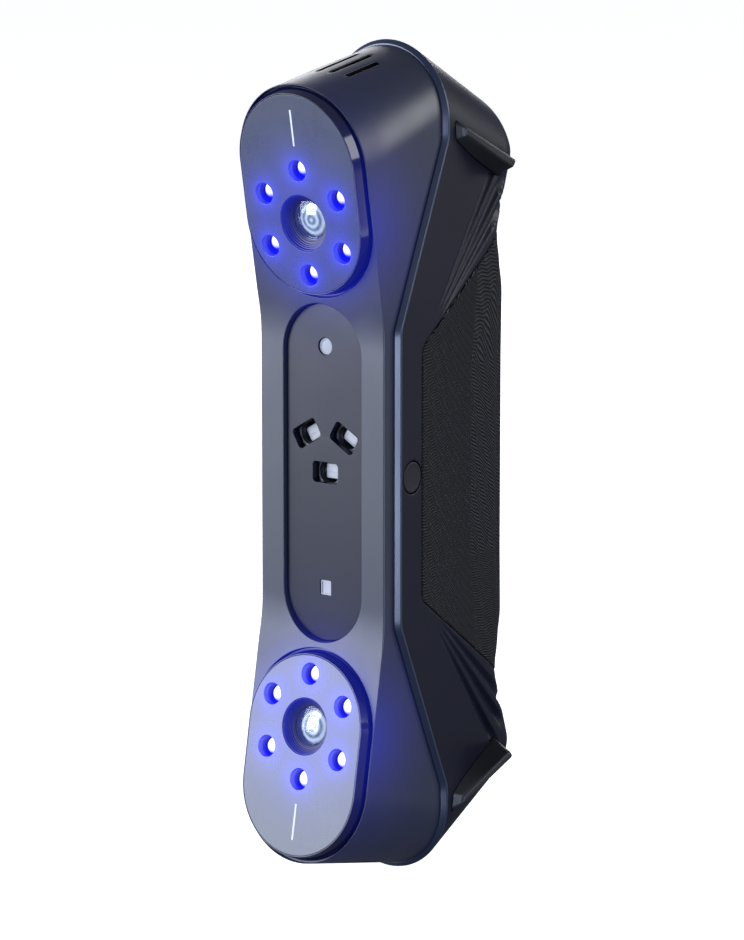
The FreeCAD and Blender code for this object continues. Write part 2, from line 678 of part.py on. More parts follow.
def place_port(shape):
    """Move a shape drawn with X across, Y along and Z outwards onto the lower end."""
    middle, outward, along = port_axes()
    placement = FreeCAD.Placement(middle, FreeCAD.Rotation(Vector(-1, 0, 0), along, outward, "ZXY"))
    moved = shape.copy()
    moved.Placement = placement
    return moved


def port_recess():
    """Shallow flat-bottomed recess for the two sockets."""
    half_x, half_y = PORT_HALF
    recess = block((-half_x, half_x), (-half_y, half_y), (-PORT_DEPTH, 6))
    return place_port(recess.makeFillet(2.5, [edge for edge in recess.Edges if edge.BoundBox.ZLength > 5]))


def slot_tube(length, height, low, high, y):
    """A flat-sided oval block along the port axis."""
    half, end = length / 2 - height / 2, height / 2
    oval = block((-half, half), (y - end, y + end), (low, high))
    for x in (-half, half):
        oval = oval.fuse(Part.makeCylinder(end, high - low, Vector(x, y, low)))
    return oval.removeSplitter()


DATA_AT = -6.0
JACK_AT = 5.6


def data_socket_envelope():
    """Space that the data socket fills."""
    return place_port(slot_tube(9.2, 3.5, -PORT_DEPTH - 7.5, -PORT_DEPTH + 0.4, DATA_AT))


def data_socket():
    """Oval data socket with its tongue."""
    shell = slot_tube(9.2, 3.5, -PORT_DEPTH - 7.5, -PORT_DEPTH + 0.4, DATA_AT)
    shell = shell.cut(slot_tube(8.5, 2.8, -PORT_DEPTH - 6.3, 2, DATA_AT))
    tongue = block((-3.3, 3.3), (DATA_AT - 0.35, DATA_AT + 0.35), (-PORT_DEPTH - 6.5, -PORT_DEPTH - 0.8))
    return place_port(shell.fuse(tongue).removeSplitter())


def power_jack_envelope():
    """Space that the power jack fills."""
    return place_port(Part.makeCylinder(4.2, 9.4, Vector(0, JACK_AT, -PORT_DEPTH - 9)))


def power_jack():
    """Round power jack with its centre pin."""
    jack = Part.makeCylinder(4.2, 9.4, Vector(0, JACK_AT, -PORT_DEPTH - 9))
    jack = jack.cut(Part.makeCylinder(2.8, 12, Vector(0, JACK_AT, -PORT_DEPTH - 7.5)))
    pin = Part.makeCylinder(1.0, 7.4, Vector(0, JACK_AT, -PORT_DEPTH - 8))
    return place_port(jack.fuse(pin).removeSplitter())


# ---------------------------------------------------------------- inside
def optical_bench():
    """Rigid cast frame that holds both cameras, the lasers and the board."""
    bench = block((-13, 13), (BENCH_FRONT_Y, BENCH_BACK_Y), (-80, 80))
    bench = bench.makeFillet(3.0, [edge for edge in bench.Edges if edge.BoundBox.YLength > 2])
    for side in (1, -1):
        for end in (1, -1):
            cheek_x = sorted((side * 14.05, side * 15.0))
            step_x = sorted((side * 12.0, side * 15.0))
            cheek_z = sorted((end * 56.0, end * 72.0))
            bench = bench.fuse(block(cheek_x, (6, BENCH_BACK_Y), cheek_z))
            bench = bench.fuse(block(step_x, (BENCH_FRONT_Y, BENCH_BACK_Y), cheek_z))
    for end in (1, -1):
        window_z = sorted((end * 42.0, end * 62.0))
        bench = bench.cut(block((-6.5, 6.5), (0, 60), window_z))
    for x, z in both_sides(CASE_SCREW):
        bench = bench.fuse(rod(3.0, Vector(x, BENCH_BACK_Y, z), Vector(x, BOARD_FRONT_Y, z)))
        bench = bench.cut(rod(1.05, Vector(x, 0, z), Vector(x, 60, z)))
    for x, z in both_sides(BENCH_SCREW):
        bench = bench.fuse(rod(2.4, Vector(x, BENCH_BACK_Y, z), Vector(x, BOARD_FRONT_Y, z)))
        bench = bench.cut(rod(0.85, Vector(x, BENCH_BACK_Y, z), Vector(x, 60, z)))
    return bench.removeSplitter()


def main_board():
    """Processing board with its larger chips and connectors."""
    back = BOARD_FRONT_Y + BOARD_THICKNESS
    board = block((-12.4, 12.4), (BOARD_FRONT_Y, back), (-62, 62))
    for x, z, size, height in ((0, 36, 14, 1.4), (3, 6, 9, 1.2), (-5, -14, 7, 1.2), (2, -34, 11, 1.4)):
        half = size / 2
        board = board.fuse(block((x - half, x + half), (back, back + height), (z - half, z + half)))
    for z in (45.0, -45.0):
        board = board.fuse(block((-5, 5), (BOARD_FRONT_Y - 1.6, BOARD_FRONT_Y), (z - 1.5, z + 1.5)))
    for x, z in both_sides(BENCH_SCREW):
        board = board.cut(rod(0.95, Vector(x, 20, z), Vector(x, 60, z)))
    return board.removeSplitter()


def heat_sink():
    """Finned block on the processor."""
    base_y = BOARD_FRONT_Y + BOARD_THICKNESS + 1.4
    sink = block((-10, 10), (base_y, base_y + 2), (25, 47))
    for index in range(7):
        x = -9.4 + index * 18.8 / 6
        sink = sink.fuse(block((x - 0.6, x + 0.6), (base_y + 2, base_y + 10), (25, 47)))
    return sink.removeSplitter()


def fan_frame():
    """Square fan frame with its hub on four struts."""
    half = FAN_SIZE / 2
    frame = block((-half, half), (FAN_Y - half, FAN_Y + half), (FAN_Z, FAN_Z + FAN_HEIGHT))
    frame = frame.makeFillet(2.0, [edge for edge in frame.Edges if edge.BoundBox.ZLength > 5])
    frame = frame.cut(fan_disc(11.6, FAN_Z, FAN_Z + FAN_HEIGHT))
    for angle in (45, 135, 225, 315):
        strut = block((4.0, 12.2), (-0.7, 0.7), (0, 1.2))
        strut.rotate(Vector(0, 0, 0), Vector(0, 0, 1), angle)
        strut.translate(Vector(0, FAN_Y, FAN_Z))
        frame = frame.fuse(strut)
    frame = frame.fuse(fan_disc(4.6, FAN_Z, FAN_Z + 1.2)).removeSplitter()
    return frame.cut(fan_disc(0.8, FAN_Z, FAN_Z + 1.2))


def fan_disc(radius, low, high):
    """A round piece on the fan's axis."""
    return Part.makeCylinder(radius, high - low, Vector(0, FAN_Y, low))


def fan_rotor():
    """Hub, pitched blades and the shaft that turns in the frame."""
    rotor = fan_disc(4.6, FAN_Z + 1.6, FAN_Z + 6.6).fuse(fan_disc(0.75, FAN_Z + 0.2, FAN_Z + 1.7))
    for index in range(7):
        blade = block((3.8, 11.1), (-2.6, 2.6), (-0.4, 0.4))
        blade.rotate(Vector(0, 0, 0), Vector(1, 0, 0), 38)
        blade.translate(Vector(0, 0, 4.1))
        blade.rotate(Vector(0, 0, 0), Vector(0, 0, 1), index * 360 / 7)
        blade.translate(Vector(0, FAN_Y, FAN_Z))
        rotor = rotor.fuse(blade)
    return rotor.removeSplitter()


def flex_cable(end):
    """Flat cable from a camera board, through the bench, to the main board."""
    near = [(20.4, 57.7, 0), (23.6, 56.4, 2.0), (27.0, 51.4, 2.0), (29.95, 46.9, 0)]
    far = [(29.95, 46.5, 0), (26.8, 51.2, 2.0), (23.4, 56.1, 2.0), (20.4, 57.3, 0)]
    strip = side_prism(near + far, 4.0)
    if end < 0:
        strip.rotate(Vector(0, 0, 0), Vector(0, 1, 0), 180)
    return strip


def screws(places, head_radius, head_y, shank_radius, tip_y):
    """Screws along the depth, heads towards the back, as separate solids."""
    made = []
    for x, z in places:
        head = rod(head_radius, Vector(x, head_y, z), Vector(x, head_y + 1.6, z))
        head = head.cut(hexagon(x, z, head_y + 0.6, head_y + 1.6, head_radius * 0.5))
        shank = rod(shank_radius, Vector(x, tip_y, z), Vector(x, head_y, z))
        made.append(head.fuse(shank).removeSplitter())
    return Part.makeCompound(made)


def hexagon(x, z, y_from, y_to, radius):
    """Six-sided drive recess."""
    points = [Vector(x + radius * math.cos(math.radians(60 * index)), y_from,
                     z + radius * math.sin(math.radians(60 * index))) for index in range(7)]
    return Part.Face(Part.makePolygon(points)).extrude(Vector(0, y_to - y_from, 0))


# ---------------------------------------------------------------- assembly
HEAD_PIECES = {
    "camera_bezel": camera_bezel,
    "face_plate": face_plate,
    "led_holder": led_holder,
    "leds": leds,
    "led_board": led_board,
    "lens_hood": lens_hood,
    "front_lens": front_lens,
    "lens_barrel": lens_barrel,
    "lens_lock_ring": lens_lock_ring,
    "camera_housing": camera_housing,
    "camera_board": camera_board,
}

SINGLE_PIECES = {
    "front_shell": front_shell,
    "trim_band": trim_band,
    "rear_casing": rear_casing,
    "grip_sleeve": grip_sleeve,
    "centre_panel": centre_panel,
    "colour_camera": colour_camera,
    "colour_camera_window": colour_camera_window,
    "projector_module": projector_module,
    "projector_window": projector_window,
    "key_panel": key_panel,
    "key_board": key_board,
    "status_light": status_light,
    "tripod_insert": tripod_insert,
    "tripod_plug": tripod_plug,
    "data_socket": data_socket,
    "power_jack": power_jack,
    "optical_bench": optical_bench,
    "main_board": main_board,
    "heat_sink": heat_sink,
    "fan_frame": fan_frame,
    "fan_rotor": fan_rotor,
}


def all_pieces():
    """Every piece by name, still in drawing coordinates."""
    pieces = {name: make() for name, make in SINGLE_PIECES.items()}
    for name, make in HEAD_PIECES.items():
        shape = make()
        for side, upper in (("upper", True), ("lower", False)):
            pieces[f"{side}_{name}"] = place_pod(shape, upper)
    for side, place in LASERS.items():
        pieces[f"{side}_laser_module"] = place_laser(laser_module(), place)
        pieces[f"{side}_laser_lens"] = place_laser(laser_lens(), place)
    for level, end in (("upper", 1), ("lower", -1)):
        pad = bumper(level)
        for side, sign in (("right", 1), ("left", -1)):
            corner = pad.copy()
            if sign < 0:
                corner = corner.mirror(Vector(0, 0, 0), Vector(1, 0, 0))
            if end < 0:
                corner = corner.mirror(Vector(0, 0, 0), Vector(0, 0, 1))
            pieces[f"bumper_{level}_{side}"] = corner
    for name in KEYS:
        pieces[name] = key(name)
    pieces["upper_flex_cable"] = flex_cable(1)
    pieces["lower_flex_cable"] = flex_cable(-1)
    board_back = BOARD_FRONT_Y + BOARD_THICKNESS
    pieces["board_screws"] = screws(both_sides(BENCH_SCREW), 1.7, board_back, 0.8, BENCH_BACK_Y + 1)
    pieces["case_screws"] = screws(both_sides(CASE_SCREW), 1.9, 50.0, 1.0, BENCH_FRONT_Y)
    return pieces


def main():
    """Write one STEP file for each piece."""
    os.makedirs("parts", exist_ok=True)
    for name, shape in all_pieces().items():
        placed = shape.copy()
        placed.translate(Vector(0, -ORIGIN_Y, 0))
        placed.exportStep(f"parts/{name}.step")


if __name__ == "__main__":
    main()
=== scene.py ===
"""Handheld 3D scanner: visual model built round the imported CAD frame.

Outlines are worked out in millimetres in the drawing frame of the part (Y = 0 on the
flat middle of the front face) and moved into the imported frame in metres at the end.
"""
import json
import math

import bmesh
import bpy
import numpy as np
from mathutils import Matrix, Vector
from mathutils.geometry import delaunay_2d_cdt


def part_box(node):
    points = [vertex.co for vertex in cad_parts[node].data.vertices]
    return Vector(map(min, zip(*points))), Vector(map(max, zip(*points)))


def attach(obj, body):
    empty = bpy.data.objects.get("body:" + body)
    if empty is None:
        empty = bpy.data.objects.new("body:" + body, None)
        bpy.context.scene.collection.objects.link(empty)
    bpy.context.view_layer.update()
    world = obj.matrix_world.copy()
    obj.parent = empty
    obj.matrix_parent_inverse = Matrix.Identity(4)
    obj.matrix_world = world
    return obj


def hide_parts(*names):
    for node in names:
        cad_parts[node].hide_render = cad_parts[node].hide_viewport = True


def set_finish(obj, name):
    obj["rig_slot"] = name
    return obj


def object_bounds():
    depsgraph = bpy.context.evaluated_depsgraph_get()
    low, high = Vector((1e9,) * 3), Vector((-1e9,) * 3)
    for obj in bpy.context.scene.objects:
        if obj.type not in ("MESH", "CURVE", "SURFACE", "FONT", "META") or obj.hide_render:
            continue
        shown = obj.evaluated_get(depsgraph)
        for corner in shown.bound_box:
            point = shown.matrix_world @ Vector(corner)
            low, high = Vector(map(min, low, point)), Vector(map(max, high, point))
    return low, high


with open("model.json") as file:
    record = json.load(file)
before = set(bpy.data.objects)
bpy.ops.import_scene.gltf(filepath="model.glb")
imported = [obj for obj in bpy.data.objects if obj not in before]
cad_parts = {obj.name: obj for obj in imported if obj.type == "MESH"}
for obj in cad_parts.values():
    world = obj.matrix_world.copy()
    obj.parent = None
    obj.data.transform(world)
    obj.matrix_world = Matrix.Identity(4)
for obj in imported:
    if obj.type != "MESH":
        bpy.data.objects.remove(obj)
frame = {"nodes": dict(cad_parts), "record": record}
cad_low, cad_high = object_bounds()

# ---------------------------------------------------------------- sizes in millimetres
PANEL_RECESS = 1.2
OFFSET_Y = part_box("centre_panel")[0].y * 1000 - PANEL_RECESS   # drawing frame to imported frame

TOE_IN = math.radians(9.8)
FACE_BREAK = 37.9
FACE_BLEND = 60.0
FACE_SLOPE = math.tan(TOE_IN)
PARTING_MID, PARTING_HEAD = 4.8, 26.5
KNEE_MID, KNEE_HEAD, KNEE_RADIUS = 37.5, 83.2, 6.0
PARTING_ANGLE = math.atan2(PARTING_HEAD - PARTING_MID, KNEE_HEAD - KNEE_MID)
TRIM_FRONT, TRIM_BACK = -1.15, 0.8
REAR_WIDTH, REAR_TAPER = 22.15, 0.1114
REAR_CENTRE, REAR_CENTRE_BACK, REAR_BACK_Y, REAR_RUN = 88.3, 73.24, 61.4, 34.9
CREASE_Y, CREASE_START_Z, CREASE_SLOPE = 37.5, 25.0, 0.56    # the grip's side turns here
REAR_ROUND = 7.0
SLEEVE_FRONT_Y, SLEEVE_FRONT_Z, SLEEVE_SLOPE, SLEEVE_CORNER = 14.7, 32.0, 0.69, 3.0
FLUTES = (6.0, 11.5, 17.0)

LENS_Z, PLATE_Y = 64.08, -7.17
PLATE_RADIUS, PLATE_STRETCH, PLATE_THICKNESS = 18.2, 14.74, 1.6
BEZEL_LIP, BEZEL_RADIUS, BEZEL_PROUD, BEZEL_DEPTH = 0.25, 19.3, 2.6, 5.4
GROOVE_RADIUS, GROOVE_DEPTH = 20.05, 1.2
LENS_OPENING, LED_CIRCLE, LED_HOLE, LED_RADIUS = 7.3, 13.46, 2.75, 2.4

PANEL_WIDTH, PANEL_HEIGHT, PANEL_THICKNESS = 12.72, 43.2, 1.5
COLOUR_WINDOW_Z, COLOUR_WINDOW_RADIUS = 32.2, 2.2
PROJECTOR_Z, PROJECTOR_WINDOW = -29.6, (3.5, 3.9)
LASERS = {"left": (-6.1, 9.45, -30.0), "right": (6.1, 9.45, 30.0), "middle": (0.0, 0.0, 0.0)}
LASER_WINDOW = (8.2, 5.3, 1.0)
VENT_SLOTS = ((2.1, 0.6, 16.8), (6.3, 2.0, 14.5))
VENT_WIDTH = 1.5
SKIRT_INSET, SKIRT_OVERLAP, SKIRT_CLEARANCE = 1.9, 0.25, 1.6
VENT_ROWS, VENT_HALF = (4, 22), 18

PLUG_Y, PLUG_RADIUS, PLUG_HOLE = 10.2, 3.95, 4.25
KEY_PANEL_WIDTH, KEY_PANEL_LOW, KEY_PANEL_HIGH = 7.0, -21.0, 27.0
KEY_TOP_Y, KEY_PANEL_Y = 58.4, 57.0
KEYS = {"scan_key": (3.0, 5.0), "plus_key": (16.5, 3.4), "minus_key": (-9.5, 3.4)}
CASE_SCREW = (8.4, 69.0)
BUMPER_FOOT_X, BUMPER_CROWN_X, BUMPER_CROWN_Y, BUMPER_CROWN_SLOPE = 15, 25, 47.0, 0.25
BUMPER_LEAN, BUMPER_EDGE = 0.94, 0.55
PORT_Y, PORT_HALF, PORT_DEPTH, PORT_CORNER = 42.0, (6.6, 13.0), 2.4, 2.5
DATA_AT, JACK_AT = -6.0, 5.6


# ---------------------------------------------------------------- profiles
def front_y(z):
    """Level of the front face at a height."""
    run = FACE_BLEND * math.tan(TOE_IN / 2)
    start = FACE_BREAK - run
    height = np.abs(z)
    dip = np.clip(height - start, 0, run * (1 + math.cos(TOE_IN)))
    curved = -(FACE_BLEND - np.sqrt(FACE_BLEND ** 2 - dip ** 2))
    straight = -FACE_SLOPE * (height - FACE_BREAK)
    return np.where(height > start + run * (1 + math.cos(TOE_IN)), straight, curved)


def parting_y(z):
    """Level of the parting line at a height, with rounded knees."""
    height = np.abs(z)
    run = KNEE_RADIUS * math.tan(PARTING_ANGLE / 2)
    low_start = KNEE_MID - run
    low_end = KNEE_MID + run * math.cos(PARTING_ANGLE)
    high_start = KNEE_HEAD - run * math.cos(PARTING_ANGLE)
    high_end = KNEE_HEAD + run
    straight = PARTING_MID + math.tan(PARTING_ANGLE) * (height - KNEE_MID)
    low = PARTING_MID + KNEE_RADIUS - np.sqrt(KNEE_RADIUS ** 2 - np.clip(height - low_start, 0, 5) ** 2)
    high = PARTING_HEAD - KNEE_RADIUS + np.sqrt(KNEE_RADIUS ** 2 - np.clip(high_end - height, 0, 5) ** 2)
    return np.select([height < low_end, height < high_start], [low, straight], high)


def soft_bend(y, slope_before, slope_after, reach=3.0):
    """Height of a line that changes slope at 0, rounded within a reach."""
    across = np.clip(y, -reach, reach) + reach
    bend = (slope_after - slope_before) * across ** 2 / (4 * reach)
    return slope_before * y + bend + (slope_after - slope_before) * np.maximum(y - reach, 0)


def front_width(y):
    return 20.46 + soft_bend(y, 0.0, -2.86 / 27)


def front_centre(y):
    return 80.6 + soft_bend(y, 0.2, 8.26 / 27)


def rear_width(y):
    return REAR_WIDTH - REAR_TAPER * y


def rear_centre(y):
    return REAR_CENTRE - np.maximum(y - PARTING_HEAD, 0) * (REAR_CENTRE - REAR_CENTRE_BACK) / REAR_RUN


REAR_LINE = ((0.0, 57.2, 0.0), (43.0, 57.2, 18.0), (57.0, 53.8, 12.0), (78.0, 61.4, 9.0), (125.0, 61.4, 0.0))


def rear_table():
    """The back's profile from the side as dense (height, depth) points with rounded knees."""
    points = [np.array([REAR_LINE[0][0], REAR_LINE[0][1]])]
    for (z0, y0, _), (z1, y1, radius), (z2, y2, _) in zip(REAR_LINE, REAR_LINE[1:], REAR_LINE[2:]):
        corner = np.array([z1, y1])
        before = np.array([z0, y0]) - corner
        after = np.array([z2, y2]) - corner
        before, after = before / np.linalg.norm(before), after / np.linalg.norm(after)
        half = 0.5 * math.acos(float(before @ after))
        reach = radius / math.tan(half)
        start, stop = corner + before * reach, corner + after * reach
        middle = before + after
        centre = corner + middle / np.linalg.norm(middle) * radius / math.sin(half)
        for share in np.linspace(0, 1, 13):
            spoke = (1 - share) * (start - centre) + share * (stop - centre)
            points.append(centre + spoke / np.linalg.norm(spoke) * radius)
    points.append(np.array([REAR_LINE[-1][0], REAR_LINE[-1][1]]))
    return np.array(points)


REAR_TABLE = rear_table()


def rear_y(z):
    """Level of the back at a height."""
    return np.interp(np.abs(z), REAR_TABLE[:, 0], REAR_TABLE[:, 1])


def sleeve_reach(y):
    """Half height of the rubber sleeve at a depth."""
    along = 1 / math.hypot(1, SLEEVE_SLOPE)
    turn = math.pi / 2 - math.atan(SLEEVE_SLOPE)
    run = SLEEVE_CORNER * math.tan(turn / 2)
    centre_y = SLEEVE_FRONT_Y + SLEEVE_CORNER
    centre_z = SLEEVE_FRONT_Z - run
    arc = centre_z + np.sqrt(np.maximum(SLEEVE_CORNER ** 2 - (centre_y - y) ** 2, 0))
    line = SLEEVE_FRONT_Z + SLEEVE_SLOPE * (y - SLEEVE_FRONT_Y)
    return np.where(y < SLEEVE_FRONT_Y + run * along, arc, line)


def smooth(value, low, high):
    """Smooth step from 0 at low to 1 at high."""
    t = np.clip((value - low) / (high - low), 0, 1)
    return t * t * (3 - 2 * t)


# ---------------------------------------------------------------- mesh helpers
def to_scene(points):
    """Drawing millimetres to packed metres."""
    points = np.asarray(points, float).reshape(-1, 3).copy()
    points[:, 1] += OFFSET_Y
    return points / 1000


def as_points(local):
    return np.asarray(local, float).reshape(-1, 3)


def at_level(flat, level):
    """Flat points with one level added as third coordinate."""
    return np.column_stack([flat, np.full(len(flat), level)])


class Shape:
    """Collects points and faces in drawing millimetres, then makes one object."""

    def __init__(self):
        self.points, self.faces, self.count = [], [], 0

    def add(self, points):
        points = as_points(points)
        self.points.append(points)
        self.count += len(points)
        return np.arange(self.count - len(points), self.count)

    def strip(self, one, two, closed=True):
        """Quads between two rows of point numbers."""
        last = len(one) if closed else len(one) - 1
        for i in range(last):
            j = (i + 1) % len(one)
            self.faces.append((one[i], one[j], two[j], two[i]))

    def loops(self, loops, closed=True):
        """Quads through a list of equally long point loops; returns their numbers."""
        rows = [self.add(loop) for loop in loops]
        for one, two in zip(rows, rows[1:]):
            self.strip(one, two, closed)
        return rows

    def sheet(self, rows, keep):
        """Quads between closed rows of point numbers, where keep is true."""
        count = len(rows[0])
        for row, i in zip(*np.nonzero(keep)):
            j = (i + 1) % count
            self.faces.append((rows[row][i], rows[row][j], rows[row + 1][j], rows[row + 1][i]))

    def cap(self, loop):
        """Closes a small convex loop with a fan."""
        ring = self.add(loop)
        middle = self.add(np.asarray(loop, float).mean(0))[0]
        for i in range(len(ring)):
            self.faces.append((ring[i], ring[(i + 1) % len(ring)], middle))

    def fill(self, outer, holes, inner, lift):
        """Fills a flat outline with holes, through extra inner points, then lifts each point to 3D."""
        coords, edges = [], []
        for loop in [outer, *holes]:
            first = len(coords)
            coords += [Vector((float(a), float(b))) for a, b in loop]
            edges += [(first + i, first + (i + 1) % len(loop)) for i in range(len(loop))]
        coords += [Vector((float(a), float(b))) for a, b in inner]
        made = delaunay_2d_cdt(coords, edges, [], 0, 1e-7)
        flat = np.array([(p.x, p.y) for p in made[0]])
        exact = np.concatenate([np.asarray(part, float).reshape(-1, 2) for part in (outer, *holes, inner)])
        for number, origin in enumerate(made[3]):
            if origin:
                flat[number] = exact[origin[0]]
        faces = np.array([f for f in made[2] if len(f) == 3])
        middle = flat[faces].mean(1)
        keep = inside(middle, outer)
        for hole in holes:
            keep &= ~inside(middle, hole)
        numbers = self.add(lift(flat))
        self.faces += [tuple(numbers[list(f)]) for f in faces[keep]]

    def make(self, name, material, slot=None, smooth_angle=35, weld=0.004):
        """Welds the points and makes the object."""
        mesh = bpy.data.meshes.new(name)
        faces = [tuple(map(int, f)) for f in self.faces]
        mesh.from_pydata(to_scene(np.concatenate(self.points)).tolist(), [], faces)
        work = bmesh.new()
        work.from_mesh(mesh)
        bmesh.ops.remove_doubles(work, verts=work.verts, dist=weld / 1000)
        bmesh.ops.dissolve_degenerate(work, edges=work.edges, dist=1e-7)
        loose = [v for v in work.verts if not v.link_faces]
        bmesh.ops.delete(work, geom=loose, context="VERTS")
        bmesh.ops.recalc_face_normals(work, faces=work.faces)
        work.to_mesh(mesh)
        work.free()
        mesh.shade_smooth()
        mesh.set_sharp_from_angle(angle=math.radians(smooth_angle))
        made = bpy.data.objects.new(name, mesh)
        bpy.context.scene.collection.objects.link(made)
        mesh.materials.append(material)
        even = made.modifiers.new("even_normals", "WEIGHTED_NORMAL")
        even.keep_sharp, even.weight = True, 80
        if slot:
            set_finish(made, slot)
        return made


def inside(points, loop):
    """True for the points inside a closed loop."""
    loop = np.asarray(loop, float)
    x, y = points[:, 0], points[:, 1]
    found = np.zeros(len(points), bool)
    for (x0, y0), (x1, y1) in zip(loop, np.roll(loop, -1, 0)):
        if y0 == y1:
            continue
        crosses = (y0 > y) != (y1 > y)
        found ^= crosses & (x < (x1 - x0) * (y - y0) / (y1 - y0) + x0)
    return found


def grid_points(low, high, step):
    """Evenly spaced points in a box."""
    a, b = np.meshgrid(np.arange(low[0], high[0], step), np.arange(low[1], high[1], step))
    return np.stack([a.ravel(), b.ravel()], 1)


def clear_of(points, loops, gap):
    """The points that keep a distance from every loop's corners."""
    keep = np.ones(len(points), bool)
    for loop in loops:
        loop = np.asarray(loop, float)
        for start in range(0, len(points), 2000):
            part = points[start:start + 2000]
            near = np.hypot(*(part[:, None, :] - loop[None, :, :]).transpose(2, 0, 1)).min(1)
            keep[start:start + 2000] &= near > gap
    return points[keep]


def seeds(points, outer, holes, gap):
    """Points for a fill: inside the outline if there is one, outside the holes, clear of both."""
    if outer is not None:
        points = points[inside(points, outer)]
    for hole in holes:
        points = points[~inside(points, hole)]
    return clear_of(points, holes if outer is None else [outer, *holes], gap)


def block_ring(grid, first, last, low, high):
    """Rim and inner points of a block cut out of a grid of points."""
    ring = [grid[low, i] for i in range(first, last)] + [grid[j, last] for j in range(low, high)]
    ring += [grid[high, i] for i in range(last, first, -1)] + [grid[j, first] for j in range(high, low, -1)]
    return np.array(ring), grid[low + 1:high, first + 1:last].reshape(-1, 3)


def rim_rows(outline, radius, steps, lift, inward):
    """Rows round the rounded rim of a hole; inward is the direction into it."""
    rows = []
    for step in range(steps + 1):
        turn = math.pi / 2 * step / steps
        sink = np.array(inward) * radius * (1 - math.cos(turn))
        rows.append(lift(outline(radius * (1 - math.sin(turn)))) + sink)
    return rows


def snapped(lift, known_points):
    """A lift that gives the known point wherever the flat position is the same."""
    known = {tuple(np.round(p[(0, 2), ], 6)): p for p in known_points}

    def matched(flat):
        points = lift(flat)
        for i, key in enumerate(map(tuple, np.round(flat, 6))):
            if key in known:
                points[i] = known[key]
        return points
    return matched


class Track:
    """A racetrack round the long axis, sampled the same way at every depth."""

    def __init__(self, side, arc):
        g = np.linspace(-1, 1, side + 1)[:-1]
        turn = np.linspace(0, math.pi, arc + 1)[:-1]
        one, zero = np.ones(side), np.zeros(side)
        self.a = np.concatenate([one, np.cos(turn), -one, -np.cos(turn)])
        self.b = np.concatenate([zero, np.sin(turn), zero, -np.sin(turn)])
        self.g = np.concatenate([g, np.ones(arc), -g, -np.ones(arc)])
        self.side, self.arc = side, arc

    def at(self, width, centre, y):
        """Points for a half width, an arc centre and a depth, each one number or one per sample."""
        x = width * self.a
        z = centre * self.g + width * self.b
        return np.stack([x, np.broadcast_to(y, x.shape), z], 1)


def solve(track, width, centre, level, inset=0.0, rounds=12):
    """Points of a ruled body, moved in by an inset, whose depth follows a profile of the height."""
    y = np.zeros(len(track.a))
    for _ in range(rounds):
        points = track.at(width(y) - inset, centre(y), y)
        y = level(points[:, 2])
    return track.at(width(y) - inset, centre(y), y)


def circle(radius, x=0.0, y=0.0, count=48):
    """A circle's outline as a function of an offset."""
    turn = np.linspace(0, 2 * math.pi, count + 1)[:-1]

    def outline(offset=0.0):
        return np.stack([x + (radius + offset) * np.cos(turn), y + (radius + offset) * np.sin(turn)], 1)
    return outline


def rounded_rectangle(size_x, size_y, radius, x=0.0, y=0.0, angle=0.0, steps=7):
    """A rounded rectangle's outline as a function of an offset."""
    def outline(offset=0.0):
        points = []
        r = max(radius + offset, 0.02)
        for quarter, (sx, sy) in enumerate(((1, 1), (-1, 1), (-1, -1), (1, -1))):
            cx = sx * (size_x / 2 + offset - r)
            cy = sy * (size_y / 2 + offset - r)
            for step in range(steps + 1):
                turn = math.radians(90 * (quarter + step / steps))
                points.append((cx + r * math.cos(turn), cy + r * math.sin(turn)))
        points = np.array(points)
        c, s = math.cos(angle), math.sin(angle)
        return points @ np.array([[c, s], [-s, c]]) + (x, y)
    return outline


def racetrack(width, low, high, count=32, side=24):
    """A racetrack's outline along the second axis as a function of an offset."""
    def outline(offset=0.0):
        r = width + offset
        turn = np.linspace(0, math.pi, count + 1)
        rise = np.linspace(low, high, side + 1)[1:-1]
        top = np.stack([r * np.cos(turn), high + r * np.sin(turn)], 1)
        bottom = np.stack([-r * np.cos(turn), low - r * np.sin(turn)], 1)
        left = np.stack([np.full(len(rise), -r), rise[::-1]], 1)
        right = np.stack([np.full(len(rise), r), rise], 1)
        return np.concatenate([top, left, bottom, right])
    return outline


def plate(shape, place, outer, holes, top, thickness, radius, hole_radius=None, steps=4):
    """A flat plate with rounded rims; outlines are functions of an offset, place lifts (a, b, level)."""
    hole_radius = radius if hole_radius is None else hole_radius

    def lift(level):
        return lambda flat: place(at_level(flat, level))
    low = top - thickness
    shape.fill(outer(-radius), [hole(hole_radius) for hole in holes], (), lift(top))
    for outline, rim, sign in [(outer, radius, -1)] + [(hole, hole_radius, 1) for hole in holes]:
        rows = []
        for step in range(steps + 1):
            turn = math.pi / 2 * step / steps
            flat = outline(sign * rim * (1 - math.sin(turn)))
            rows.append(lift(top - rim * (1 - math.cos(turn)))(flat))
        rows.append(lift(low)(outline(0)))
        shape.loops(rows)
    shape.fill(outer(0), [hole(0) for hole in holes], (), lift(low))


def lathe(shape, place, profile, x=0.0, y=0.0, count=64, closed=False):
    """Turns a (radius, level) profile round an axis; place lifts (a, b, level)."""
    turn = np.linspace(0, 2 * math.pi, count + 1)[:-1]
    rows = []
    for radius, level in profile:
        radius = max(radius, 0.003)
        ring = np.stack([x + radius * np.cos(turn), y + radius * np.sin(turn), np.full(count, level)], 1)
        rows.append(place(ring))
    if closed:
        rows.append(rows[0])
    shape.loops(rows)


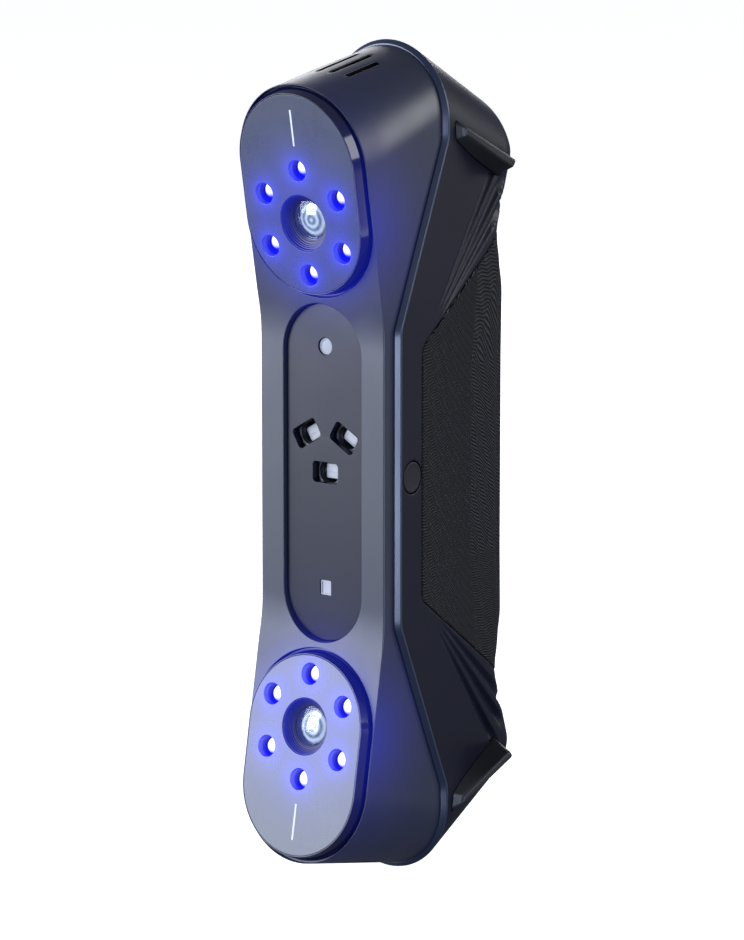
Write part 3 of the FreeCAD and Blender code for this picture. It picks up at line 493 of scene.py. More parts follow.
def rounded_profile(points, radius, steps=3):
    """Rounds the inner corners of an open (radius, level) profile."""
    points = [np.array(p, float) for p in points]
    made = [points[0]]
    for before, corner, after in zip(points, points[1:], points[2:]):
        reach = min(radius, 0.45 * np.linalg.norm(before - corner), 0.45 * np.linalg.norm(after - corner))
        start = corner + (before - corner) / np.linalg.norm(before - corner) * reach
        stop = corner + (after - corner) / np.linalg.norm(after - corner) * reach
        for share in np.linspace(0, 1, steps + 1):
            made.append((1 - share) ** 2 * start + 2 * share * (1 - share) * corner + share ** 2 * stop)
    made.append(points[-1])
    return made


def corner_arc(start, corner, stop, steps=5):
    """Rows of points that round a corner row by row."""
    weight = 0.75
    rows = []
    for t in np.linspace(0, 1, steps + 1):
        k0, k1, k2 = (1 - t) ** 2, 2 * weight * t * (1 - t), t ** 2
        rows.append((k0 * start + k1 * corner + k2 * stop) / (k0 + k1 + k2))
    return rows


# ---------------------------------------------------------------- placing
def head_place(upper):
    """Lifts (x, outwards, forwards) of a camera head into the drawing frame."""
    def place(local):
        local = as_points(local)
        x, v, n = local.T
        y = PLATE_Y - v * math.sin(TOE_IN) - n * math.cos(TOE_IN)
        z = LENS_Z + v * math.cos(TOE_IN) - n * math.sin(TOE_IN)
        return np.stack([x, y, z], 1) if upper else np.stack([-x, y, -z], 1)
    return place


def facing_front(local):
    """Lifts (x, z, forwards) to the drawing frame."""
    local = as_points(local)
    return np.stack([local[:, 0], -local[:, 2], local[:, 1]], 1)


def facing_back(local):
    """Lifts (x, z, backwards) to the drawing frame."""
    local = as_points(local)
    return np.stack([local[:, 0], local[:, 2], local[:, 1]], 1)


END_SLOPE = (REAR_CENTRE_BACK + REAR_WIDTH - REAR_TAPER * REAR_BACK_Y - REAR_CENTRE
             - (REAR_WIDTH - REAR_TAPER * PARTING_HEAD)) / REAR_RUN
PORT_ALONG = np.array([0, 1, -END_SLOPE]) / math.hypot(1, END_SLOPE)
PORT_OUT = np.array([0, -END_SLOPE, -1]) / math.hypot(1, END_SLOPE)
PORT_MIDDLE = np.array([0, PORT_Y, -(REAR_CENTRE + REAR_WIDTH - REAR_TAPER * PARTING_HEAD
                                     + END_SLOPE * (PORT_Y - PARTING_HEAD))])


def port_place(local):
    """Lifts (across, along, outwards) of the port recess into the drawing frame."""
    local = as_points(local)
    across = np.array([-1.0, 0, 0])
    return PORT_MIDDLE + local[:, :1] * across + local[:, 1:2] * PORT_ALONG + local[:, 2:] * PORT_OUT


def pod_track(radius, count=40, side=10):
    """The head plate's outline as a function of an offset."""
    return racetrack(radius, 0.0, PLATE_STRETCH, count, side)


# ---------------------------------------------------------------- materials
class Nodes:
    """Short names for the shader nodes of one material."""

    def __init__(self, name):
        self.material = bpy.data.materials.new(name)
        self.material.use_nodes = True
        self.tree = self.material.node_tree
        self.tree.nodes.clear()
        self.out = self.tree.nodes.new("ShaderNodeOutputMaterial")

    def node(self, kind, **settings):
        made = self.tree.nodes.new(kind)
        for key, value in settings.items():
            setattr(made, key, value)
        return made

    def link(self, source, target):
        self.tree.links.new(source, target)

    def feed(self, socket, value):
        if isinstance(value, bpy.types.NodeSocket):
            self.link(value, socket)
        else:
            socket.default_value = value

    def math(self, operation, first, second=0.0):
        made = self.node("ShaderNodeMath", operation=operation)
        self.feed(made.inputs[0], first)
        self.feed(made.inputs[1], second)
        return made.outputs[0]

    def add(self, first, second):
        return self.math("ADD", first, second)

    def sub(self, first, second):
        return self.math("SUBTRACT", first, second)

    def mul(self, first, second):
        return self.math("MULTIPLY", first, second)

    def dot(self, vector, axis):
        made = self.node("ShaderNodeVectorMath", operation="DOT_PRODUCT")
        self.feed(made.inputs[0], vector)
        made.inputs[1].default_value = axis
        return made.outputs["Value"]

    def place(self):
        return self.node("ShaderNodeTexCoord").outputs["Object"]

    def stretch(self, vector, scale):
        made = self.node("ShaderNodeVectorMath", operation="MULTIPLY")
        self.feed(made.inputs[0], vector)
        made.inputs[1].default_value = scale
        return made.outputs[0]

    def noise(self, vector, scale, detail=3.0, roughness=0.55):
        made = self.node("ShaderNodeTexNoise")
        self.link(vector, made.inputs["Vector"])
        made.inputs["Scale"].default_value = scale
        made.inputs["Detail"].default_value = detail
        made.inputs["Roughness"].default_value = roughness
        return made.outputs["Fac"]

    def span(self, value, low, high, from_low=0.0, from_high=1.0):
        made = self.node("ShaderNodeMapRange", clamp=True)
        self.feed(made.inputs["Value"], value)
        ends = {"From Min": from_low, "From Max": from_high, "To Min": low, "To Max": high}
        for name, number in ends.items():
            made.inputs[name].default_value = number
        return made.outputs["Result"]

    def mix(self, factor, one, two):
        made = self.node("ShaderNodeMix", data_type="RGBA")
        self.feed(made.inputs[0], factor)
        for socket, value in ((made.inputs[6], one), (made.inputs[7], two)):
            self.feed(socket, value if isinstance(value, bpy.types.NodeSocket) else (*value, 1.0))
        return made.outputs[2]

    def bump(self, height, strength, distance, normal=None):
        made = self.node("ShaderNodeBump")
        made.inputs["Strength"].default_value = strength
        made.inputs["Distance"].default_value = distance
        self.feed(made.inputs["Height"], height)
        if normal:
            self.link(normal, made.inputs["Normal"])
        return made.outputs["Normal"]

    def principled(self, **values):
        made = self.node("ShaderNodeBsdfPrincipled")
        for key, value in values.items():
            self.feed(made.inputs[key.replace("_", " ")], value)
        self.link(made.outputs[0], self.out.inputs["Surface"])
        self.shader = made
        return self.material


def colour(rgb, share=1.0):
    return tuple(min(c * share, 1.0) for c in rgb)


def moulded_nodes(name, rgb, rough=0.45, specular=0.5, grain=0.32, depth=0.02, metallic=0.0, spread=0.12,
                  coat=0.0, coat_rough=0.2, patch=22.0, scuff=0.0):
    """Moulded or painted surface: fine grain, slow colour drift, uneven gloss and light rub marks."""
    nodes = Nodes(name)
    where = nodes.place()
    drift = nodes.noise(where, 1000 / patch, 4.0)
    fine = nodes.noise(where, 1000 / grain, 2.0, 0.6)
    speck = nodes.noise(where, 1000 / (grain * 3.3), 2.0)
    base = nodes.mix(nodes.span(drift, 0, 1, 0.3, 0.7), colour(rgb, 1 - spread), colour(rgb, 1 + spread))
    base = nodes.mix(nodes.span(speck, 0.0, 0.35, 0.45, 0.75), base, colour(rgb, 1 + 2 * spread))
    gloss = nodes.add(nodes.span(drift, rough * 0.9, rough * 1.1, 0.3, 0.7), nodes.span(fine, -0.03, 0.03))
    if scuff:
        streak = nodes.noise(nodes.stretch(where, (90.0, 400.0, 60.0)), 5.0, 6.0, 0.7)
        rub = nodes.span(streak, 0.0, scuff, 0.62, 0.75)
        gloss = nodes.add(gloss, rub)
        base = nodes.mix(rub, base, colour(rgb, 1.7))
    normal = nodes.bump(fine, 0.5, depth / 1000)
    normal = nodes.bump(speck, 0.25, depth / 1000, normal)
    nodes.principled(Base_Color=base, Roughness=gloss, Specular_IOR_Level=specular, Metallic=metallic,
                     Normal=normal, Coat_Weight=coat, Coat_Roughness=coat_rough)
    return nodes


def moulded(name, rgb, *numbers, **settings):
    return moulded_nodes(name, rgb, *numbers, **settings).material


def knurled(name, rgb, pitch=0.86):
    """Rubber with rows of fine beads that sweep up along the side and turn down past the crease, coloured
    darker in the troughs and lighter on the crests as painted shade and painted light.
    """
    nodes = Nodes(name)
    where = nodes.place()
    drift = nodes.noise(where, 45.0, 4.0)
    fine = nodes.noise(where, 5200.0, 2.0)
    x, y, z = (nodes.dot(where, axis) for axis in ((1000, 0, 0), (0, 1000, 0), (0, 0, 1000)))
    y = nodes.sub(y, OFFSET_Y)
    over = nodes.math("MAXIMUM", nodes.sub(nodes.math("ABSOLUTE", z), CREASE_START_Z), 0.0)
    crease = nodes.add(nodes.mul(over, CREASE_SLOPE), CREASE_Y)
    level_off = nodes.add(nodes.mul(over, 0.12), CREASE_Y)
    run = nodes.sub(nodes.math("MINIMUM", y, level_off), SLEEVE_FRONT_Y)
    past = nodes.math("MAXIMUM", nodes.sub(y, crease), 0.0)
    past = nodes.add(past, nodes.math("MAXIMUM", nodes.sub(16.5, nodes.math("ABSOLUTE", x)), 0.0))
    sweep = nodes.add(nodes.mul(run, 0.12),
                       nodes.mul(nodes.mul(run, run), 0.024))
    sway = nodes.mul(nodes.math("SINE", nodes.mul(nodes.add(y, nodes.mul(z, 0.35)), 1.15)), 0.24)
    phase = nodes.add(nodes.sub(z, sweep), nodes.mul(past, 0.55))
    phase = nodes.add(phase, sway)
    rows = nodes.math("SINE", nodes.mul(phase, 2 * math.pi / pitch))
    along = nodes.add(nodes.add(run, past), nodes.mul(phase, 0.5))
    beads = nodes.math("SINE", nodes.mul(along, 2 * math.pi / 1.25))
    height = nodes.add(nodes.mul(rows, 0.82), nodes.mul(beads, 0.18))
    crest_shade_and_gloss = nodes.span(height, 0, 1, -0.3, 0.85)
    # Painted shade and painted light: the colour runs from dark in the troughs to light on the crests.
    base = nodes.mix(crest_shade_and_gloss, colour(rgb, 0.12), colour(rgb, 2.3))
    base = nodes.mix(nodes.span(drift, 0, 0.4, 0.35, 0.7), base, colour(rgb, 0.7))
    rough = nodes.add(nodes.span(crest_shade_and_gloss, 0.70, 0.42), nodes.span(fine, -0.05, 0.05))
    normal = nodes.bump(height, 1.0, 0.00028)
    normal = nodes.bump(fine, 0.4, 0.00001, normal)
    nodes.principled(Base_Color=base, Roughness=rough, Specular_IOR_Level=0.42, Normal=normal)
    return nodes.material


LED_BLUE, LED_WHITE = (0.02, 0.03, 1.0), (0.92, 0.94, 1.0)


def lamp_distance(nodes, upper):
    """Distance in mm from the nearest lamp, and from the lens axis, in head coordinates."""
    sign = 1 if upper else -1
    origin = to_scene([(0, PLATE_Y, sign * LENS_Z)])[0]
    moved = nodes.node("ShaderNodeVectorMath", operation="SUBTRACT")
    nodes.link(nodes.place(), moved.inputs[0])
    moved.inputs[1].default_value = origin
    across = nodes.dot(moved.outputs[0], (1000 * sign, 0, 0))
    outwards = nodes.dot(moved.outputs[0], (0, -1000 * math.sin(TOE_IN), 1000 * sign * math.cos(TOE_IN)))
    radius = nodes.math("SQRT", nodes.add(nodes.mul(across, across),
                                           nodes.mul(outwards, outwards)))
    turn = nodes.math("ARCTAN2", outwards, across)
    turn = nodes.sub(nodes.math("FLOORED_MODULO", turn, math.pi / 3), math.pi / 6)
    dx = nodes.sub(nodes.mul(radius, nodes.math("COSINE", turn)), LED_CIRCLE)
    dy = nodes.mul(radius, nodes.math("SINE", turn))
    near = nodes.math("SQRT", nodes.add(nodes.mul(dx, dx), nodes.mul(dy, dy)))
    return near, radius


def plate_paint(name, upper, rgb=(0.060, 0.070, 0.092)):
    """Satin head plate, with the lamps' blue light painted on as emission round their holes."""
    nodes = Nodes(name)
    where = nodes.place()
    near, radius = lamp_distance(nodes, upper)
    drift = nodes.noise(where, 55.0, 4.0)
    fine = nodes.noise(where, 3600.0, 2.0)
    base = nodes.mix(nodes.span(drift, 0, 1, 0.3, 0.7), colour(rgb, 0.93), colour(rgb, 1.07))
    # Painted light: blue emission falling off from each lamp hole and outside the lamp circle.
    spill = nodes.math("EXPONENT", nodes.mul(nodes.sub(near, LED_HOLE), -0.55))
    wide = nodes.math("EXPONENT", nodes.mul(nodes.math("MAXIMUM", nodes.sub(radius, LED_CIRCLE), 0.0), -0.13))
    glow = nodes.add(nodes.mul(spill, 0.52), nodes.mul(wide, 0.27))
    rough = nodes.add(nodes.span(drift, 0.26, 0.31, 0.3, 0.7), nodes.span(fine, -0.02, 0.02))
    nodes.principled(Base_Color=base, Roughness=rough, Specular_IOR_Level=0.48,
                     Normal=nodes.bump(fine, 0.3, 0.000008), Emission_Color=(*LED_BLUE, 1),
                     Emission_Strength=glow)
    return nodes.material


def lamp_glow(name, core, edge, strength, low, high, upper):
    """Lamp emission, whiter towards the top of the lamp and where the surface faces up and forward, which is
    a painted highlight; on the lamp wells it is a painted blue glow.
    """
    nodes = Nodes(name)
    sign = 1 if upper else -1
    origin = to_scene([(0, PLATE_Y, sign * LENS_Z)])[0]
    moved = nodes.node("ShaderNodeVectorMath", operation="SUBTRACT")
    nodes.link(nodes.place(), moved.inputs[0])
    moved.inputs[1].default_value = origin
    level = nodes.dot(moved.outputs[0], (0, -1000 * math.cos(TOE_IN), -1000 * sign * math.sin(TOE_IN)))
    grain = nodes.noise(nodes.place(), 1800.0, 3.0)
    share = nodes.span(nodes.add(level, nodes.span(grain, -0.15, 0.15)), 0, 1, low, high)
    # Painted highlight: whiter where the surface faces up and forward.
    facing = nodes.dot(nodes.node("ShaderNodeNewGeometry").outputs["Normal"], (0.05, -0.72, 0.69))
    share = nodes.mul(share, nodes.span(facing, 0, 1, 0.0, 0.62))
    tint = nodes.mix(share, edge, core)
    power = nodes.span(share, strength * 0.6, strength)
    nodes.principled(Base_Color=nodes.mix(share, colour(edge, 0.1), colour(core, 0.2)), Emission_Color=tint,
                     Roughness=nodes.span(grain, 0.25, 0.4), Emission_Strength=power, Specular_IOR_Level=0.5)
    return nodes.material


def clear(name, rgb, alpha, rough=0.02, emission=None, strength=0.0):
    """Coated glass or clear plastic, with slight smears."""
    nodes = Nodes(name)
    smear = nodes.noise(nodes.place(), 120.0, 2.0)
    values = {"Base_Color": nodes.mix(smear, colour(rgb, 0.9), colour(rgb, 1.1)),
              "Roughness": nodes.span(smear, rough, rough + 0.03, 0.3, 0.8),
              "Specular_IOR_Level": 1.0, "Alpha": alpha, "Coat_Weight": 0.6, "Coat_Roughness": 0.02}
    if emission:
        values.update(Emission_Color=(*emission, 1.0), Emission_Strength=strength)
    nodes.principled(**values)
    return nodes.material


def brushed(name, rgb, rough=0.3, axis=(40.0, 40.0, 900.0)):
    """Machined metal with fine tool lines."""
    nodes = Nodes(name)
    where = nodes.place()
    lines = nodes.noise(nodes.stretch(where, axis), 8.0, 4.0)
    drift = nodes.noise(where, 60.0, 3.0)
    base = nodes.mix(nodes.span(lines, 0, 1, 0.3, 0.7), colour(rgb, 0.82), colour(rgb, 1.1))
    gloss = nodes.add(nodes.span(lines, rough - 0.07, rough + 0.08), nodes.span(drift, -0.04, 0.04))
    nodes.principled(Base_Color=base, Roughness=gloss, Metallic=1.0, Normal=nodes.bump(lines, 0.25, 0.00001))
    return nodes.material


MATERIALS = {
    "trim_blue_grey": moulded("trim_blue_grey", (0.016, 0.027, 0.066), 0.40, 1.0, 0.2, 0.004, 0.35,
                              0.06, 0.3),
    "casing_black": moulded("casing_black", (0.0030, 0.0038, 0.0125), 0.42, 0.28, 0.34, 0.014, spread=0.12,
                            scuff=0.05),
    "grip_rubber": knurled("grip_rubber", (0.0085, 0.0083, 0.0105)),
    "plug_rubber": moulded("plug_rubber", (0.0125, 0.012, 0.0145), 0.55, 0.3, 0.3, 0.02),
    "bumper_rubber": moulded("bumper_rubber", (0.018, 0.017, 0.019), 0.42, 0.5, 0.42, 0.03, spread=0.2),
    "bezel_gloss": moulded("bezel_gloss", (0.006, 0.007, 0.022), 0.10, 0.6, 0.5, 0.002, spread=0.1, coat=0.5,
                           coat_rough=0.05),
    "gloss_black": moulded("gloss_black", (0.012, 0.012, 0.016), 0.16, 0.5, 0.4, 0.002),
    "module_black": moulded("module_black", (0.02, 0.02, 0.023), 0.5, 0.4, 0.3, 0.015),
    "hood_black": moulded("hood_black", (0.012, 0.014, 0.04), 0.25, 0.5, 0.3, 0.006),
    # Near-black; the vent liners and bumper gap rings use it as painted shade.
    "gap_black": moulded("gap_black", (0.0015, 0.0015, 0.002), 0.8, 0.1, 0.3, 0.004),
    "lamp_block": moulded("lamp_block", (0.01, 0.012, 0.2), 0.3, 0.5, 0.3, 0.01),
    "dark_glass": clear("dark_glass", (0.01, 0.01, 0.02), 1.0, 0.04),
    "laser_housing": brushed("laser_housing", (0.035, 0.036, 0.042), 0.34),
    "laser_lens_white": moulded("laser_lens_white", (0.46, 0.47, 0.50), 0.32, 0.5, 0.4, 0.004, spread=0.10,
                                coat=0.2),
    "circuit_board": moulded("circuit_board", (0.012, 0.05, 0.03), 0.35, 0.5, 0.5, 0.02, coat=0.3),
    "cast_aluminium": moulded("cast_aluminium", (0.45, 0.46, 0.47), 0.5, 0.5, 0.5, 0.03, 0.9),
    "sink_aluminium": brushed("sink_aluminium", (0.08, 0.08, 0.085), 0.4),
    "barrel_aluminium": brushed("barrel_aluminium", (0.06, 0.06, 0.07), 0.3),
    "brass_insert": brushed("brass_insert", (0.62, 0.43, 0.17), 0.28),
    "socket_steel": brushed("socket_steel", (0.5, 0.5, 0.52), 0.25),
    "screw_steel": brushed("screw_steel", (0.45, 0.45, 0.46), 0.3),
    "screw_black": brushed("screw_black", (0.05, 0.05, 0.055), 0.35),
    "key_rubber": moulded("key_rubber", (0.035, 0.036, 0.042), 0.5, 0.35, 0.35, 0.02),
    "flex_amber": moulded("flex_amber", (0.35, 0.16, 0.03), 0.35, 0.5, 0.5, 0.01, coat=0.4),
}
MATERIALS["lens_glass"] = clear("lens_glass", (0.01, 0.02, 0.09), 0.22, 0.05)
MATERIALS["diffuser_white"] = moulded("diffuser_white", (0.42, 0.43, 0.47), 0.35, 0.4, 0.3, 0.003,
                                      spread=0.12, coat=0.3)
MATERIALS["light_pipe"] = clear("light_pipe", (0.55, 0.65, 0.60), 0.85, 0.1)
HEAD_PAINTS = {
    upper: (plate_paint(f"plate_grey_{side}", upper),
            lamp_glow(f"lamp_white_{side}", LED_WHITE, LED_BLUE, 1.5, -4.4, -3.0, upper))
    for upper, side in ((True, "upper"), (False, "lower"))}
MATERIALS["plate_grey"], MATERIALS["lamp_white"] = HEAD_PAINTS[True]
# Painted light: the lamp wells round the domes glow blue as emission, though they are no lamp.
WELL_PAINTS = {
    upper: lamp_glow(f"lamp_well_{upper}", (0.008, 0.010, 0.85), (0.006, 0.008, 0.8), 1.0, -7.0, -1.0, upper)
    for upper in (True, False)}
MARK_WHITE = moulded("mark_white", (0.75, 0.76, 0.80), 0.5, 0.4, 0.3, 0.004)


# ---------------------------------------------------------------- front half
def front_shell():
    """Front casing: leaning heads, flat middle, side walls, groove round each head plate."""
    shape = Shape()
    track = Track(170, 72)
    corner = solve(track, front_width, front_centre, front_y)
    rim = 0.20 + 0.35 * (1 - smooth(np.abs(corner[:, 2]), 36, 46))
    face = solve(track, front_width, front_centre, front_y, rim)
    wall_y = corner[:, 1] + rim
    wall = track.at(front_width(wall_y), front_centre(wall_y), wall_y)
    back = solve(track, front_width, front_centre, lambda z: parting_y(z) + TRIM_FRONT - 0.25)
    shape.loops(corner_arc(face, corner, wall))
    steps = 26
    grid = []
    for share in np.linspace(0, 1, steps + 1):
        y = wall_y * (1 - share) + back[:, 1] * share
        grid.append(track.at(front_width(y), front_centre(y), y))
    low, high = VENT_ROWS
    keep = np.ones((steps, len(track.a)), bool)
    shade_liner = Shape()
    blocks = []
    for middle in (track.side + track.arc // 2, 2 * track.side + track.arc + track.arc // 2):
        first, last = middle - VENT_HALF, middle + VENT_HALF
        keep[low:high, first:last] = False
        blocks.append((first, last))
    at = [shape.add(row) for row in grid]
    shape.sheet(at, keep)
    grid = np.array(grid)
    for first, last in blocks:
        vent_block(shape, shade_liner, grid, first, last, low, high)
    skirt = [(inset, back[:, 1] + SKIRT_OVERLAP) for inset in (0.0, 0.08, 0.3, SKIRT_INSET)]
    behind_face = face[:, 1] + SKIRT_CLEARANCE
    skirt += [(SKIRT_INSET, np.maximum(back[:, 1] + depth, behind_face)) for depth in (-1.0, -4.0)]
    edge = at[-1]
    for inset, y in skirt:
        added = shape.add(track.at(front_width(y) - inset, front_centre(y), y))
        shape.strip(edge, added)
        edge = added

    holes = []
    for upper in (True, False):
        place = head_place(upper)
        outline = pod_track(GROOVE_RADIUS, 64, 12)
        profile = [(0.12, -BEZEL_PROUD), (0.06, -BEZEL_PROUD - 0.015), (0.015, -BEZEL_PROUD - 0.06),
                   (0.0, -BEZEL_PROUD - 0.13), (0.0, -BEZEL_PROUD - GROOVE_DEPTH + 0.15),
                   (-0.15, -BEZEL_PROUD - GROOVE_DEPTH), (-0.5, -BEZEL_PROUD - GROOVE_DEPTH),
                   (-0.66, -BEZEL_PROUD - GROOVE_DEPTH - 0.1), (-0.67, -BEZEL_DEPTH - 0.4)]
        loops = [place(at_level(outline(offset), level)) for offset, level in profile]
        loops[0][:, 1] = front_y(loops[0][:, 2])
        shape.loops(loops)
        holes.append(loops[0][:, (0, 2)])
    opening = racetrack(PANEL_WIDTH + 0.08, -(PANEL_HEIGHT - PANEL_WIDTH), PANEL_HEIGHT - PANEL_WIDTH, 40, 48)

    def on_front(flat):
        return np.stack([flat[:, 0], front_y(flat[:, 1]), flat[:, 1]], 1)
    rows = rim_rows(opening, 0.22, 4, on_front, (0, 1, 0))
    for offset, y in ((0.0, 2.55), (-0.15, 2.7), (-1.0, 2.7)):
        flat = opening(offset)
        rows.append(np.stack([flat[:, 0], np.full(len(flat), y), flat[:, 1]], 1))
    shape.loops(rows)
    holes.append(rows[0][:, (0, 2)])
    outer = face[:, (0, 2)]
    heights = np.concatenate([np.arange(-44, -32, 1.0), np.arange(33, 45, 1.0)])
    inner = np.array([(side * x, z) for z in heights for x in (14.2, 16.2, 18.2) for side in (1, -1)])
    inner = np.concatenate([inner, grid_points((-19, -31), (19, 31), 2.5)])
    shape.fill(outer, holes, seeds(inner, outer, holes, 0.8), on_front)
    made = shape.make("scanner_front_shell", MATERIALS["shell_grey"], "shell_grey", 40)
    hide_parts("front_shell")
    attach(made, "housing")
    # Painted shade: near-black liners and caps inside the vent slots.
    made = shade_liner.make("scanner_vent_liners", MATERIALS["gap_black"], None, 40)
    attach(made, "housing")


def vent_block(shape, shade_liner, grid, first, last, low, high):
    """Refills a block of the end wall with the vent slots cut through it, and lines each slot with near-black
    painted shade.
    """
    ring, inner = block_ring(grid, first, last, low, high)
    end = 1 if ring[0, 2] > 0 else -1

    def wall_z(flat, inset=0.0):
        width = front_width(flat[:, 1]) - inset
        return end * (front_centre(flat[:, 1]) + np.sqrt(width ** 2 - flat[:, 0] ** 2))
    slots = []
    for offset, y_from, y_to in VENT_SLOTS:
        for side in (1, -1):
            half = VENT_WIDTH / 2
            track = racetrack(half, y_from + half, y_to - half, 12, 16)
            slots.append(lambda o, t=track, x=side * offset: t(o) + (x, 0))
    rim = 0.18
    holes = [slot(rim) for slot in slots]

    def lift(flat):
        return np.stack([flat[:, 0], flat[:, 1], wall_z(flat)], 1)
    shape.fill(ring[:, :2], holes, seeds(inner[:, :2], None, holes, 0.35), lift)
    for slot in slots:
        shape.loops(rim_rows(slot, rim, 3, lift, (0, 0, -end)))
        flat = slot(0)
        deep = [np.stack([flat[:, 0], flat[:, 1], wall_z(flat, level)], 1) for level in (rim, 0.5, 2.0, 3.4)]
        shade_liner.loops(deep)
        shade_liner.cap(deep[-1])


def trim_band():
    """Chamfered band along the parting line."""
    shape = Shape()
    track = Track(190, 72)
    profile = [(2.9, TRIM_BACK), (2.9, TRIM_FRONT), (1.32, TRIM_FRONT), (1.2, TRIM_FRONT + 0.01),
               (1.1, TRIM_FRONT + 0.07), (0.16, -0.14), (0.08, -0.04), (0.02, 0.06), (0.0, 0.16),
               (0.0, TRIM_BACK - 0.12), (0.03, TRIM_BACK - 0.03), (0.12, TRIM_BACK), (1.6, TRIM_BACK)]
    rows = [solve(track, rear_width, rear_centre, lambda z, s=shift: parting_y(z) + s, inset)
            for inset, shift in profile]
    shape.loops(rows)
    made = shape.make("scanner_trim_band", MATERIALS["trim_blue_grey"], "trim_blue_grey", 30)
    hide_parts("trim_band")
    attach(made, "housing")


def centre_panel():
    """Recessed panel with its windows."""
    shape = Shape()
    outer = racetrack(PANEL_WIDTH, -(PANEL_HEIGHT - PANEL_WIDTH), PANEL_HEIGHT - PANEL_WIDTH, 40, 40)
    holes = [circle(COLOUR_WINDOW_RADIUS, 0, COLOUR_WINDOW_Z),
             rounded_rectangle(*PROJECTOR_WINDOW, 0.4, 0, PROJECTOR_Z)]
    for x, z, tilt in LASERS.values():
        holes.append(rounded_rectangle(*LASER_WINDOW, x, z, -math.radians(tilt)))
    plate(shape, facing_front, outer, holes, -PANEL_RECESS, PANEL_THICKNESS, 0.25, 0.14)
    made = shape.make("scanner_centre_panel", MATERIALS["panel_grey"], "panel_grey", 35)
    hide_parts("centre_panel")
    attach(made, "housing")


def laser_place(x, z, tilt):
    """Lifts (across, up, forwards) of one laser window."""
    c, s = math.cos(math.radians(tilt)), math.sin(math.radians(tilt))

    def place(local):
        local = as_points(local)
        a, b = local[:, 0], local[:, 1]
        return np.stack([x + a * c + b * s, -local[:, 2], z - a * s + b * c], 1)
    return place


def lasers():
    """Stepped laser housings with their square line lenses."""
    for side, (x, z, tilt) in LASERS.items():
        place = laser_place(x, z, tilt)
        shape = Shape()
        plate(shape, place, rounded_rectangle(9.2, 6.3, 0.8), [circle(3.1, count=64)], -2.8, 0.5, 0.08, 0.08)
        steps = rounded_profile([(3.1, -3.2), (3.1, -3.4), (2.95, -3.45), (2.95, -3.9), (2.75, -4.0),
                                 (2.75, -4.6), (2.6, -4.7), (2.6, -6.3), (0.01, -6.3)], 0.05, 2)
        lathe(shape, place, steps, count=64)
        made = shape.make(f"scanner_{side}_laser_housing", MATERIALS["laser_housing"], "laser_housing", 25)
        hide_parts(f"{side}_laser_module")
        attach(made, "housing")
        shape = Shape()
        plate(shape, place, rounded_rectangle(4.4, 3.8, 0.45), [], -4.3, 1.9, 0.22, steps=5)
        plate(shape, place, rounded_rectangle(3.1, 0.5, 0.2), [], -4.24, 0.2, 0.06)
        made = shape.make(f"scanner_{side}_laser_lens", MATERIALS["laser_lens_white"], "laser_lens_white", 30)
        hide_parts(f"{side}_laser_lens")
        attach(made, "housing")


def small_windows():
    """Round colour camera window and square projector window."""
    shape = Shape()
    dish = [(COLOUR_WINDOW_RADIUS - 0.04, -3.0), (COLOUR_WINDOW_RADIUS - 0.04, -1.75), (2.05, -1.65),
            (1.75, -1.62), (1.68, -1.75), (1.55, -1.78)]
    dish += [(r, -1.78 + 0.12 * (1 - (r / 1.55) ** 2)) for r in (1.3, 1.0, 0.7, 0.4, 0.0)]
    lathe(shape, facing_front, dish, 0, COLOUR_WINDOW_Z, 48)
    made = shape.make("scanner_colour_window", MATERIALS["diffuser_white"], "dark_glass", 30)
    made.data.materials[0] = COLOUR_GLASS
    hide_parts("colour_camera_window")
    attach(made, "housing")
    shape = Shape()
    size = (PROJECTOR_WINDOW[0] - 0.12, PROJECTOR_WINDOW[1] - 0.12)
    pane = rounded_rectangle(size[0] - 0.7, size[1] - 0.7, 0.2, 0, PROJECTOR_Z)
    plate(shape, facing_front, rounded_rectangle(*size, 0.35, 0, PROJECTOR_Z), [pane], -1.45, 0.6, 0.08)
    plate(shape, facing_front, pane, [], -1.7, 0.6, 0.05)
    made = shape.make("scanner_projector_window", MATERIALS["diffuser_white"], "diffuser_white", 30)
    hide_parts("projector_window")
    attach(made, "housing")


COLOUR_GLASS = moulded("colour_glass", (0.40, 0.41, 0.46), 0.5, 0.35, 0.3, 0.003, spread=0.1)


